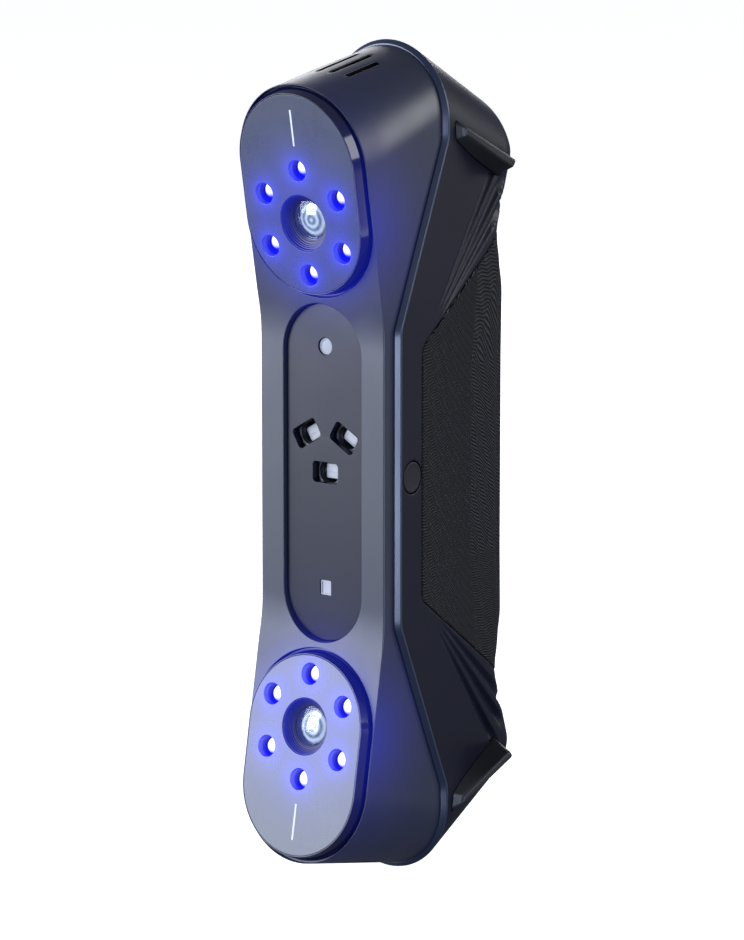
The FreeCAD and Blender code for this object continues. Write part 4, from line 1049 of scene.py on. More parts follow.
# ---------------------------------------------------------------- camera heads
def camera_head(upper):
    """Bezel, plate, lamps, hood and lens of one head."""
    side = "upper" if upper else "lower"
    place = head_place(upper)
    plate_paint_here, lamp_paint = HEAD_PAINTS[upper]

    track = pod_track(PLATE_RADIUS, 64, 12)
    shape = Shape()
    slope = BEZEL_RADIUS - PLATE_RADIUS
    profile = rounded_profile([(0.02, -PLATE_THICKNESS - 0.4), (0.02, -0.02), (BEZEL_LIP, 0.0),
                               (slope - 0.08, -BEZEL_PROUD), (slope, -BEZEL_PROUD - 0.2),
                               (slope, -BEZEL_DEPTH)], 0.09, 3)
    shape.loops([place(at_level(track(offset), level)) for offset, level in profile])
    made = shape.make(f"scanner_{side}_bezel", BEZEL_PAINTS[upper], "bezel_gloss", 40)
    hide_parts(f"{side}_camera_bezel")
    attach(made, "housing")

    lamps = []
    for index in range(6):
        turn = math.radians(30 + 60 * index)
        lamps.append((LED_CIRCLE * math.cos(turn), LED_CIRCLE * math.sin(turn)))
    shape = Shape()
    holes = [circle(LENS_OPENING, count=96)] + [circle(LED_HOLE, x, v, 48) for x, v in lamps]
    plate(shape, place, lambda o: track(o - 0.03), holes, 0.0, PLATE_THICKNESS, 0.16, 0.12)
    made = shape.make(f"scanner_{side}_face_plate", plate_paint_here, "plate_grey", 35)
    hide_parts(f"{side}_face_plate")
    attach(made, "housing")

    shape = Shape()
    plate(shape, place, racetrack(0.27, 20.0, 28.8, 8, 6), [], 0.02, 0.06, 0.02, steps=2)
    made = shape.make(f"scanner_{side}_plate_mark", MARK_WHITE, None, 35)
    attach(made, "housing")

    shape = Shape()
    for x, v in lamps:
        well = rounded_profile([(LED_HOLE, -0.9), (LED_HOLE, -PLATE_THICKNESS),
                                (LED_HOLE + 0.12, -PLATE_THICKNESS - 0.1), (LED_HOLE + 0.12, -2.2),
                                (LED_HOLE - 0.05, -2.4), (LED_HOLE - 0.05, -6.4), (LED_HOLE - 0.3, -7.0),
                                (0.01, -7.0)], 0.06, 2)
        lathe(shape, place, well[2:], x, v, 40)
    made = shape.make(f"scanner_{side}_lamp_wells", WELL_PAINTS[upper], "lamp_block", 35)
    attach(made, "housing")

    shape = Shape()
    for x, v in lamps:
        dome = [(LED_RADIUS + 0.15, -6.9), (LED_RADIUS + 0.15, -6.4), (LED_RADIUS, -6.3), (LED_RADIUS, -4.2)]
        for step in range(1, 13):
            turn = math.pi / 2 * step / 12
            dome.append((LED_RADIUS * math.cos(turn), -4.2 + LED_RADIUS * math.sin(turn)))
        lathe(shape, place, dome, x, v, 40)
    made = shape.make(f"scanner_{side}_lamps", lamp_paint, "lamp_white", 35)
    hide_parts(f"{side}_leds")
    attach(made, "housing")

    shape = Shape()
    hood = [(7.28, -1.7), (7.22, -0.35), (7.12, -0.25), (6.98, -0.3), (6.9, -1.0), (6.65, -1.08),
            (6.58, -1.45), (6.35, -1.52), (6.28, -1.85), (5.95, -1.95), (5.88, -2.2), (5.45, -2.3),
            (5.38, -2.5), (5.12, -2.55), (5.1, -3.4)]
    lathe(shape, place, rounded_profile(hood, 0.04, 2), count=96)
    made = shape.make(f"scanner_{side}_lens_hood", HOOD_PAINTS[upper], "hood_black", 25)
    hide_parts(f"{side}_lens_hood")
    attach(made, "housing")

    shape = Shape()
    bulge, edge = 18.0, -2.62
    rise = bulge - math.sqrt(bulge ** 2 - 5.1 ** 2)
    dome = [(5.12, -2.9)] + [(r, edge + rise - (bulge - math.sqrt(bulge ** 2 - r ** 2)))
                            for r in np.linspace(5.1, 0.0, 15)]
    lathe(shape, place, dome, count=96)
    made = shape.make(f"scanner_{side}_front_lens", MATERIALS["lens_glass"], "lens_glass", 40)
    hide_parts(f"{side}_front_lens")
    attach(made, "housing")

    shape = Shape()
    inner_lens = [(4.35, -4.6)] + [(r, -4.0 + 0.8 * (1 - (r / 4.3) ** 2)) for r in np.linspace(4.3, 0.0, 14)]
    lathe(shape, place, inner_lens, count=72)
    made = shape.make(f"scanner_{side}_inner_lens", INNER_GLASS[upper], "lens_glass", 40)
    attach(made, "housing")

    shape = Shape()
    stack = [(5.1, -2.85), (4.85, -2.95), (4.75, -3.3), (4.5, -3.4), (4.4, -3.9), (4.3, -4.0), (4.25, -5.2),
             (0.01, -5.2)]
    lathe(shape, place, rounded_profile(stack, 0.06, 2), count=72)
    made = shape.make(f"scanner_{side}_lens_stack", STACK_PAINTS[upper], "barrel_aluminium", 25)
    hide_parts(f"{side}_lens_barrel")
    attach(made, "housing")


def shell_paint(name, rgb, rough, specular=0.5, share=1.0, scuff=0.03):
    """Satin plastic with the lamps' blue light painted on as emission round each head."""
    nodes = moulded_nodes(name, rgb, rough, specular, 0.22, 0.006, spread=0.05, scuff=scuff)
    total = 0.0
    for sign in (1, -1):
        moved = nodes.node("ShaderNodeVectorMath", operation="DISTANCE")
        nodes.link(nodes.place(), moved.inputs[0])
        moved.inputs[1].default_value = to_scene([(0, PLATE_Y, sign * LENS_Z)])[0]
        # Painted light: blue emission that falls off with the distance from each head's groove.
        beyond = nodes.sub(nodes.mul(moved.outputs["Value"], 1000), GROOVE_RADIUS)
        near = nodes.math("EXPONENT", nodes.mul(beyond, -0.24))
        wide = nodes.math("EXPONENT", nodes.mul(beyond, -0.09))
        glow = nodes.add(nodes.mul(near, 0.21 * share), nodes.mul(wide, 0.045 * share))
        total = nodes.add(glow, total)
    nodes.shader.inputs["Emission Color"].default_value = (*LED_BLUE, 1.0)
    nodes.link(total, nodes.shader.inputs["Emission Strength"])
    return nodes.material


MATERIALS["shell_grey"] = shell_paint("shell_grey_lit", (0.022, 0.026, 0.042), 0.40)
MATERIALS["panel_grey"] = shell_paint("panel_grey_lit", (0.006, 0.007, 0.018), 0.36, 0.29, 0.8, 0.01)


def blue_lit(name, rgb, glow, low, high, upper, rough=0.2):
    """Dark glossy part with the lamps' blue light painted on as emission, set by the distance from the lens
    axis.
    """
    nodes = Nodes(name)
    radius = lamp_distance(nodes, upper)[1]
    grain = nodes.noise(nodes.place(), 2600.0, 3.0)
    # Painted light: emission strength runs between the two glow values across the given radii.
    share = nodes.span(radius, 0, 1, low, high)
    power = nodes.mul(nodes.span(share, glow[0], glow[1]), nodes.span(grain, 0.85, 1.15))
    nodes.principled(Base_Color=nodes.mix(grain, colour(rgb, 0.85), colour(rgb, 1.15)),
                     Specular_IOR_Level=0.7, Roughness=nodes.span(grain, rough - 0.05, rough + 0.05),
                     Emission_Color=(0.015, 0.03, 1.0, 1.0), Emission_Strength=power,
                     Normal=nodes.bump(grain, 0.2, 0.000006))
    return nodes.material


# Painted light: bezels, hoods and lens stacks glow with the lamps' blue light.
BEZEL_PAINTS = {
    upper: blue_lit(f"bezel_{upper}", (0.006, 0.007, 0.022), (0.20, 0.01), 16.0, 31.0, upper, 0.10)
    for upper in (True, False)}
HOOD_PAINTS = {upper: blue_lit(f"hood_{upper}", (0.003, 0.004, 0.02), (0.08, 0.34), 5.2, 7.2, upper, 0.5)
               for upper in (True, False)}


def glass_with_painted_rings(name, upper):
    """Coated inner lens with pale rings and a glow painted on as emission, standing in for the reflections a
    lens stack shows behind its front glass.
    """
    nodes = Nodes(name)
    radius = lamp_distance(nodes, upper)[1]
    smear = nodes.noise(nodes.place(), 700.0, 3.0)
    # Painted reflection: pale rings by radius, also used as emission.
    wave = nodes.math("SINE", nodes.add(nodes.mul(radius, 3.7), 1.2))
    painted_rings = nodes.add(nodes.span(wave, 0.22, 1.0, -0.7, 0.8), nodes.span(smear, -0.15, 0.15, 0.35, 0.65))
    painted_ring_colour = nodes.mix(painted_rings, (0.10, 0.14, 0.26), (0.62, 0.74, 0.88))
    nodes.principled(Base_Color=painted_ring_colour, Roughness=nodes.span(smear, 0.05, 0.09), Specular_IOR_Level=0.9,
                     Emission_Color=painted_ring_colour, Emission_Strength=0.42, Coat_Weight=0.6, Coat_Roughness=0.03)
    return nodes.material


INNER_GLASS = {upper: glass_with_painted_rings(f"inner_glass_{upper}", upper) for upper in (True, False)}
STACK_PAINTS = {upper: blue_lit(f"stack_{upper}", (0.05, 0.06, 0.12), (0.05, 0.14), 3.0, 5.0, upper, 0.2)
                for upper in (True, False)}


# ---------------------------------------------------------------- rear half
def grip_crease(y, z):
    """How far the grip's rear facet lies inside the side plane."""
    start = CREASE_Y + CREASE_SLOPE * np.maximum(np.abs(z) - CREASE_START_Z, 0)
    over = y - start
    return 0.105 * np.where(over > 1.2, over, np.where(over < -1.2, 0, (over + 1.2) ** 2 / 4.8))


def flute_depth(y, z):
    """Depth of the pleats that fan out from the sleeve's front corners."""
    depth = np.zeros(np.broadcast(y, z).shape)
    for fan in FLUTES:
        angle = math.atan(SLEEVE_SLOPE) + math.radians(fan)
        start_y = SLEEVE_FRONT_Y + 6
        start_z = SLEEVE_FRONT_Z + 6 * math.tan(angle)
        along = (y - start_y) * math.cos(angle) + (np.abs(z) - start_z) * math.sin(angle)
        off = -(y - start_y) * math.sin(angle) + (np.abs(z) - start_z) * math.cos(angle)
        share = np.clip(along / 46.0, 0, 1.0)
        half = 0.25 + 1.45 * share
        groove = np.clip(1 - (off / half) ** 2, 0, 1) ** 1.2
        depth = np.maximum(depth, groove * share * 1.35 * smooth(along, 0, 4) * (1 - smooth(along, 42, 50)))
    return depth


def rear_row(track, turn, inset=0.0):
    """Points at an angle round the rear rounding: 0 on the side wall, 90 degrees on the back."""
    y = np.full(len(track.a), 50.0)
    side = REAR_ROUND * (1 - math.cos(turn)) + inset
    for _ in range(14):
        points = track.at(rear_width(y) - side, rear_centre(y), y)
        y = rear_y(points[:, 2]) - REAR_ROUND * (1 - math.sin(turn)) - (inset if turn > 0 else 0)
    return track.at(rear_width(y) - side, rear_centre(y), y)


def sunk(points):
    """How far the casing is set back under the sleeve."""
    y, z = points[:, 1], np.abs(points[:, 2])
    inside_by = np.minimum(y - SLEEVE_FRONT_Y, (sleeve_reach(np.maximum(y, SLEEVE_FRONT_Y)) - z) / 1.21)
    return 2.3 * smooth(inside_by, -0.40, 0.9)


def deep_inside(points):
    """True where the casing is well under the sleeve and never seen."""
    y, z = points[:, 1], np.abs(points[:, 2])
    return (y > SLEEVE_FRONT_Y + 2.6) & (sleeve_reach(np.maximum(y, SLEEVE_FRONT_Y)) - z > 3.2)


def casing_push(points):
    """How far the casing's surface lies inside its plain outline."""
    y, z = points[:, 1], points[:, 2]
    crease = grip_crease(y, z) * (1 - smooth(np.abs(z), 52, 62))
    return flute_depth(y, z) + crease + sunk(points)


def rear_casing():
    """Rear casing with its pleats, plug hole, screw holes and port recess."""
    shape = Shape()
    track = Track(354, 96)
    start = solve(track, rear_width, rear_centre, lambda z: parting_y(z) + TRIM_BACK + 0.02)
    wall_end = rear_row(track, 0.0)
    steps = 112
    grid = []
    for share in np.linspace(0, 1, steps + 1):
        y = start[:, 1] * (1 - share) + wall_end[:, 1] * share
        grid.append(track.at(rear_width(y), rear_centre(y), y))
    turns = np.linspace(0, math.pi / 2, 13)
    leans = [0.0] * len(grid) + list(turns[1:5])
    for turn in turns[1:5]:
        grid.append(rear_row(track, turn))
    grid = np.array(grid)
    for row, lean in enumerate(leans):
        points = grid[row]
        normal = np.stack([track.a * math.cos(lean), np.full(len(track.a), math.sin(lean)),
                           track.b * math.cos(lean)], 1)
        push = casing_push(points) * smooth(row, 0, 3)
        grid[row] = points - normal * push[:, None]
    open_rows = deep_inside(grid.reshape(-1, 3)).reshape(grid.shape[:2])
    rows, count = len(grid), len(track.a)
    keep = np.ones((rows - 1, count), bool)
    side_mid = track.side // 2
    plug_rows = [r for r in range(rows) if abs(grid[r, side_mid, 1] - PLUG_Y) < 5.6]
    plug = (side_mid - 12, side_mid + 12, plug_rows[0], plug_rows[-1])
    end_mid = 2 * track.side + track.arc + track.arc // 2
    port_rows = [r for r in range(rows) if 29.4 < grid[r, end_mid, 1] < 54.6]
    port = (end_mid - 15, end_mid + 15, port_rows[0], port_rows[-1])
    for first, last, low, high in (plug, port):
        keep[low:high, first:last] = False
    both = open_rows & np.roll(open_rows, -1, 1)
    shape.sheet([shape.add(row) for row in grid], keep & ~(both[:-1] & both[1:]))
    front_rows = [solve(track, rear_width, rear_centre, lambda z: parting_y(z) + TRIM_BACK + 0.02, inset)
                  for inset in (0.0, 2.0)]
    shape.loops([front_rows[0], front_rows[1]])
    ring, inner = block_ring(grid, *plug)
    hole = circle(PLUG_HOLE, PLUG_Y, 0.0, 64)
    middle = clear_of(inner[:, 1:][~inside(inner[:, 1:], hole(0.25))], [hole(0.2)], 0.35)

    def side_lift(flat):
        return np.stack([rear_width(flat[:, 0]) - sunk(np.column_stack([flat[:, :1] * 0, flat])), flat[:, 0],
                         flat[:, 1]], 1)
    shape.fill(ring[:, 1:], [hole(0.2)], middle, side_lift)
    rows = rim_rows(hole, 0.2, 3, side_lift, (-1, 0, 0))
    for radius, x in ((PLUG_HOLE, 18.7), (PLUG_HOLE - 0.1, 18.6), (3.2, 18.6), (3.15, 18.5), (3.15, 17.3)):
        flat = circle(radius, PLUG_Y, 0.0, 64)()
        rows.append(np.stack([np.full(len(flat), x), flat[:, 0], flat[:, 1]], 1))
    shape.loops(rows)

    ring, inner = block_ring(grid, *port)
    recess = rounded_rectangle(2 * PORT_HALF[0], 2 * PORT_HALF[1], PORT_CORNER, steps=8)
    along = PORT_ALONG[1]

    def end_lift(flat):
        width = rear_width(flat[:, 1])
        z = -rear_centre(flat[:, 1]) - np.sqrt(width ** 2 - flat[:, 0] ** 2)
        return np.stack([flat[:, 0], flat[:, 1], z], 1)

    def mouth(offset):
        flat = recess(offset)
        return np.column_stack([-flat[:, 0], PORT_Y + flat[:, 1] * along])
    hole = mouth(0.3)
    middle = clear_of(inner[:, :2][~inside(inner[:, :2], hole)], [hole], 0.3)
    shape.fill(ring[:, :2], [hole], middle, end_lift)
    rows = rim_rows(mouth, 0.3, 3, end_lift, -PORT_OUT)
    for offset, level in ((0.0, -PORT_DEPTH + 0.2), (-0.2, -PORT_DEPTH)):
        rows.append(port_place(at_level(recess(offset), level)))
    shape.loops(rows)
    sockets = [rounded_rectangle(9.3, 3.6, 1.79, 0, DATA_AT), circle(4.25, 0, JACK_AT, 56)]
    shape.fill(recess(-0.2), [socket(0.1) for socket in sockets], (),
               lambda flat: port_place(at_level(flat, -PORT_DEPTH)))
    for socket in sockets:
        shape.loops([port_place(at_level(socket(offset), level))
                     for offset, level in ((0.1, -PORT_DEPTH), (0.03, -PORT_DEPTH - 0.03),
                                           (0, -PORT_DEPTH - 0.1), (0, -PORT_DEPTH - 2.5))])

    back_rows = [grid[-1]] + [rear_row(track, turn) for turn in turns[5:]]

    def back_lift(flat):
        """Level of the back, rounding included, at each (x, z)."""
        y = np.full(len(flat), 56.0)
        for _ in range(14):
            width, centre = rear_width(y), rear_centre(y)
            beyond = np.maximum(np.abs(flat[:, 1]) - centre, 0)
            depth = np.clip(width - np.hypot(flat[:, 0], beyond), 0, REAR_ROUND)
            y = rear_y(flat[:, 1]) - REAR_ROUND + np.sqrt(REAR_ROUND ** 2 - (REAR_ROUND - depth) ** 2)
        points = np.stack([flat[:, 0], y, flat[:, 1]], 1)
        outward = (REAR_ROUND - depth) / REAR_ROUND
        push = casing_push(points)
        off = np.maximum(np.hypot(flat[:, 0], beyond), 1e-6)
        points[:, 0] -= push * outward * flat[:, 0] / off
        points[:, 2] -= push * outward * np.sign(flat[:, 1]) * beyond / off
        points[:, 1] -= push * np.sqrt(1 - outward ** 2)
        return points
    outer = grid[-1][:, (0, 2)]
    bores = [circle(2.2, sx * CASE_SCREW[0], sz * CASE_SCREW[1], 40) for sx in (1, -1) for sz in (1, -1)]
    holes = [bore(0.25) for bore in bores]
    inner = np.concatenate([row[:, (0, 2)] for row in back_rows[1:]]
                           + [grid_points((-8.2, -80), (8.2, 80), 1.0)])
    first_face = len(shape.faces)
    shape.fill(outer, holes, seeds(inner, outer, holes, 0.3), snapped(back_lift, grid[-1]))
    everything = np.concatenate(shape.points)
    hidden = deep_inside(everything)
    shape.faces[first_face:] = [f for f in shape.faces[first_face:] if not all(hidden[list(f)])]
    for bore in bores:
        rows = rim_rows(bore, 0.25, 3, back_lift, (0, -1, 0))
        for radius, y in ((0.0, 50.2), (-0.2, 50.0), (-1.0, 50.0)):
            flat = bore(radius)
            rows.append(np.stack([flat[:, 0], np.full(len(flat), y), flat[:, 1]], 1))
        shape.loops(rows)
    made = shape.make("scanner_rear_casing", MATERIALS["casing_black"], "casing_black", 38)
    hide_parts("rear_casing")
    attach(made, "housing")


def grip_sleeve():
    """Rubber sleeve wrapped round the grip, open where the keys are."""
    shape = Shape()
    proud = 0.12
    side_steps, round_steps = 74, 14
    shares = np.concatenate([[0, 0.004, 0.01, 0.02, 0.032, 0.046], np.linspace(0.062, 1, side_steps)])
    heights = np.linspace(-1, 1, 151)
    ease = np.array([1 - 0.05 / 30, 1 - 0.2 / 30, 1 - 0.45 / 30, 1 - 0.9 / 30])
    heights = np.sort(np.concatenate([heights, ease, -ease]))

    def edge_drop(distance):
        """Rounded lip of the sleeve, by the distance from its edge."""
        inner = np.clip(1 - distance / 0.5, 0, 1)
        return 0.5 * (1 - np.sqrt(1 - inner ** 2)) * 1.1

    def side_column(share, turn=None):
        z = heights * 45.0
        for _ in range(14):
            end = rear_y(z) - REAR_ROUND
            if turn is None:
                y = SLEEVE_FRONT_Y + (end - SLEEVE_FRONT_Y) * share
                x = rear_width(y)
                nx, ny = 1.0, 0.0
            else:
                y = end + REAR_ROUND * math.sin(turn)
                x = rear_width(y) - REAR_ROUND * (1 - math.cos(turn))
                nx, ny = math.cos(turn), math.sin(turn)
            z = heights * sleeve_reach(y)
        crease = grip_crease(y, z) * (nx if turn else 1.0)
        from_end = (sleeve_reach(y) - np.abs(z)) * 0.82
        lift = proud - edge_drop(np.minimum(from_end, y - SLEEVE_FRONT_Y)) - crease
        return np.stack([x + nx * lift, y + ny * lift, z], 1)
    columns = [side_column(share) for share in shares]
    turns = np.linspace(0, math.pi / 2, round_steps + 1)[1:]
    columns += [side_column(None, turn) for turn in turns[:6]]
    first_back = side_column(None, turns[5])
    right = np.array(columns)
    for sign in (1, -1):
        block = right * (sign, 1, 1)
        at = [shape.add(column) for column in block]
        for one, two in zip(at, at[1:]):
            shape.strip(one, two, closed=False)
        skirt = block[0] + (-sign * 1.8, 0.0, 0)
        shape.loops([block[0], skirt], closed=False)
        for row in (0, -1):
            edge = block[:, row]
            shape.loops([edge, edge + (-sign * 1.8, 0, 0)], closed=False)
    left = first_back * (-1, 1, 1)

    def back_lift(flat):
        y = np.full(len(flat), 55.0)
        for _ in range(14):
            depth = np.clip(rear_width(y) - np.abs(flat[:, 0]), 0, REAR_ROUND)
            y = rear_y(flat[:, 1]) - REAR_ROUND + np.sqrt(REAR_ROUND ** 2 - (REAR_ROUND - depth) ** 2)
        from_end = (sleeve_reach(y) - np.abs(flat[:, 1])) * 0.82
        lean = np.sqrt(np.maximum(1 - ((REAR_ROUND - depth) / REAR_ROUND) ** 2, 0.0))
        return np.stack([flat[:, 0], y + (proud - edge_drop(from_end)) * lean, flat[:, 1]], 1)
    top = np.stack([np.linspace(first_back[-1, 0], -first_back[-1, 0], 41)[1:-1], np.zeros(39)], 1)
    reach = first_back[-1, 2]
    for _ in range(6):
        lifted = back_lift(np.column_stack([top[:, 0], np.full(39, reach)]))
        top[:, 1] = sleeve_reach(lifted[:, 1])
    top = [(x, float(z)) for x, z in top]
    outer = [tuple(p) for p in first_back[:, (0, 2)]] + top
    outer += [tuple(p) for p in left[::-1][:, (0, 2)]] + [(x, -z) for x, z in reversed(top)]
    outer = np.array(outer)
    middle = 0.5 * (KEY_PANEL_LOW + KEY_PANEL_HIGH)
    half = 0.5 * (KEY_PANEL_HIGH - KEY_PANEL_LOW) - KEY_PANEL_WIDTH
    opening = racetrack(KEY_PANEL_WIDTH + 0.12, middle - half, middle + half, 32, 48)
    rim = 0.45
    hole = opening(rim)
    inner = np.concatenate([side_column(None, turn)[:, (0, 2)] * (sign, 1) for turn in turns[6:]
                            for sign in (1, -1)] + [grid_points((-8.5, -60), (8.5, 60), 0.9)])
    lift = snapped(back_lift, np.concatenate([first_back, left]))
    shape.fill(outer, [hole], seeds(inner, outer, [hole], 0.3), lift)
    rows = rim_rows(opening, rim, 4, back_lift, (0, -1, 0))
    flat = opening(0)
    rows.append(np.stack([flat[:, 0], np.full(len(flat), 55.3), flat[:, 1]], 1))
    shape.loops(rows)
    made = shape.make("scanner_grip_sleeve", MATERIALS["grip_rubber"], "grip_rubber", 45)
    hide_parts("grip_sleeve")
    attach(made, "housing")


def bumpers():
    """Four rubber corner pads with rounded crowns, each with a near-black ring of painted shade round its
    foot.
    """
    outlines = {"upper": (((27.0, 90.0), (28.0, 81.5), (51.5, 71.2), (53.0, 76.0)),
                          ((31.0, 86.6), (31.5, 84.1), (45.8, 74.9), (47.0, 76.8))),
                "lower": (((26.0, 93.0), (26.8, 84.6), (50.8, 74.7), (53.0, 78.5)),
                          ((31.0, 88.8), (31.5, 86.4), (45.8, 76.6), (47.0, 78.3)))}
    foot_round, crown_round = (1.2, 1.6, 1.6, 1.6), (0.7, 0.8, 1.1, 0.75)

    def crown_level(flat):
        return BUMPER_CROWN_X - BUMPER_CROWN_SLOPE * (BUMPER_CROWN_Y - flat[:, 0])

    def moved_in(corners, inset):
        made = []
        for index, corner in enumerate(corners):
            before = corners[index - 1] - corner
            after = corners[(index + 1) % 4] - corner
            before, after = before / np.linalg.norm(before), after / np.linalg.norm(after)
            half = 0.5 * math.acos(float(np.clip(before @ after, -1, 1)))
            made.append(corner + (before + after) / np.linalg.norm(before + after) * inset / math.sin(half))
        return np.array(made)

    def ring(corners, rounds, inset=0.0):
        corners = moved_in(corners, inset)
        arcs = []
        for index, corner in enumerate(corners):
            before = corners[index - 1] - corner
            after = corners[(index + 1) % 4] - corner
            long_before, long_after = np.linalg.norm(before), np.linalg.norm(after)
            before, after = before / long_before, after / long_after
            half = 0.5 * math.acos(float(np.clip(before @ after, -1, 1)))
            reach = max(rounds[index] - inset, 0.15) / math.tan(half)
            reach = min(reach, 0.42 * long_before, 0.42 * long_after)
            start, stop = corner + before * reach, corner + after * reach
            arcs.append([(1 - share) ** 2 * start + 2 * share * (1 - share) * corner + share ** 2 * stop
                         for share in np.linspace(0, 1, 8)])
        points = []
        for index, arc in enumerate(arcs):
            points += arc
            following = arcs[(index + 1) % 4][0]
            points += [arc[-1] * (1 - share) + following * share for share in (0.25, 0.5, 0.75)]
        return np.array(points)
    for level, end in (("upper", 1), ("lower", -1)):
        foot, crown = (np.array(outline) for outline in outlines[level])
        for side, sign in (("right", 1), ("left", -1)):
            shape = Shape()
            rows = []

            def row(flat, x):
                return np.stack([sign * x, flat[:, 0], end * flat[:, 1]], 1)
            foot_ring, crown_ring = ring(foot, foot_round), ring(crown, crown_round)
            radius = BUMPER_EDGE
            rise = crown_level(crown_ring) - radius - BUMPER_FOOT_X
            for share in np.linspace(0, 1, 12):
                lean = share * BUMPER_LEAN
                rows.append(row(foot_ring * (1 - lean) + crown_ring * lean, BUMPER_FOOT_X + rise * share))
            for turn in np.linspace(0, math.pi / 2, 7)[1:]:
                flat = ring(crown, crown_round, radius * (1 - math.cos(turn)))
                rows.append(row(flat, crown_level(flat) - radius + radius * math.sin(turn)))
            centre = crown.mean(0)
            for share in (0.85, 0.6, 0.3):
                flat = centre + (ring(crown, crown_round, radius) - centre) * share
                rows.append(row(flat, crown_level(flat) - 0.02 * (1 - share)))
            shape.loops(rows)
            shape.cap(rows[-1])
            made = shape.make(f"scanner_bumper_{level}_{side}", MATERIALS["bumper_rubber"], "bumper_rubber",
                              40)
            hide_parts(f"bumper_{level}_{side}")
            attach(made, "housing")
            # Painted shade: a near-black ring flush with the casing round the pad's foot, standing in for the
            # shaded gap.
            gap = Shape()
            rows = []
            for offset in (0.42, 0.1, -0.3):
                x = np.full(len(foot_ring), 17.0)
                for _ in range(12):
                    lean = (BUMPER_LEAN * (x - BUMPER_FOOT_X) / rise)[:, None]
                    flat = ring(foot, foot_round, -offset) * (1 - lean)
                    flat = flat + ring(crown, crown_round, -offset) * lean
                    beyond = np.maximum(flat[:, 1] - rear_centre(flat[:, 0]), 0)
                    x = np.sqrt(np.maximum(rear_width(flat[:, 0]) ** 2 - beyond ** 2, 1))
                rows.append(np.stack([sign * (x + 0.03), flat[:, 0], end * flat[:, 1]], 1))
            gap.loops(rows)
            made = gap.make(f"scanner_bumper_seat_{level}_{side}", MATERIALS["gap_black"], None, 40)
            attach(made, "housing")


def side_plug():
    """Round rubber cover in the side, with a rounded rim and a shallow dish in the middle."""
    shape = Shape()

    def place(local):
        local = as_points(local)
        y = PLUG_Y + local[:, 0]
        return np.stack([rear_width(y) + local[:, 2], y, local[:, 1]], 1)
    profile = [(3.6, -1.95), (PLUG_RADIUS - 0.1, -1.9), (PLUG_RADIUS, -1.75), (PLUG_RADIUS, -0.3),
               (3.9, -0.12), (3.78, -0.03), (3.6, 0.0), (3.3, -0.03), (3.22, -0.1), (3.1, -0.12)]
    dish = [(r, -0.12 - 0.1 * (1 - (r / 3.1) ** 2)) for r in (2.6, 2.0, 1.4, 0.8, 0.0)]
    lathe(shape, place, [(0.0, -1.95)] + profile + dish, count=72)
    made = shape.make("scanner_side_plug", MATERIALS["plug_rubber"], "plug_rubber", 30)
    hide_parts("tripod_plug")
    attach(made, "tripod_plug")


def keys():
    """Key panel, keys and status light on the back of the grip."""
    shape = Shape()
    middle = 0.5 * (KEY_PANEL_LOW + KEY_PANEL_HIGH)
    half = 0.5 * (KEY_PANEL_HIGH - KEY_PANEL_LOW) - KEY_PANEL_WIDTH
    outer = racetrack(KEY_PANEL_WIDTH, middle - half, middle + half, 32, 24)
    light_z = KEY_PANEL_LOW + 4.2
    holes = [circle(radius + 0.3, 0, z, 56) for z, radius in KEYS.values()] + [circle(1.25, 0, light_z, 32)]
    plate(shape, facing_back, outer, holes, KEY_PANEL_Y, 1.6, 0.35, 0.2)
    made = shape.make("scanner_key_panel", MATERIALS["gloss_black"], "gloss_black", 35)
    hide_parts("key_panel")
    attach(made, "housing")
    for name, (z, radius) in KEYS.items():
        shape = Shape()
        top = KEY_TOP_Y
        outline = [(radius + 0.6, 54.6), (radius + 0.6, 55.1), (radius, 55.15), (radius, top - 0.55)]
        outline += [(radius - 0.5 + 0.5 * math.cos(t), top - 0.55 + 0.5 * math.sin(t))
                    for t in np.linspace(0, math.pi / 2, 6)[1:]]
        dish = [(r, top - 0.05 - 0.4 * (1 - (r / (radius - 0.6)) ** 2))
                for r in np.linspace(radius - 0.6, 0.0, 9)]
        lathe(shape, facing_back, [(0.0, 54.6)] + outline + dish, 0, z, 64)
        made = shape.make(f"scanner_{name}", MATERIALS["key_rubber"], "key_rubber", 30)
        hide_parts(name)
        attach(made, name)
        shape = Shape()
        bars = {"scan_key": [], "plus_key": [(2.4, 0.5), (0.5, 2.4)], "minus_key": [(2.4, 0.5)]}[name]
        base = top - 0.42
        if bars:
            for wide, tall in bars:
                bar = rounded_rectangle(wide, tall, 0.24, 0, z)
                plate(shape, facing_back, bar, [], base, 0.15, 0.04, steps=2)
        else:
            plate(shape, facing_back, circle(1.9, 0, z, 48), [circle(1.5, 0, z, 48)], base + 0.03, 0.15, 0.04,
                  steps=2)
        made = shape.make(f"scanner_{name}_mark", MARK_WHITE, None, 30)
        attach(made, name)
    shape = Shape()
    lathe(shape, facing_back, [(1.2, 54.0), (1.2, 57.0), (1.1, 57.12), (0.9, 57.18), (0.5, 57.2),
                               (0.0, 57.2)], 0, light_z, 32)
    made = shape.make("scanner_status_light", MATERIALS["light_pipe"], "light_pipe", 40)
    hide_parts("status_light")
    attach(made, "housing")


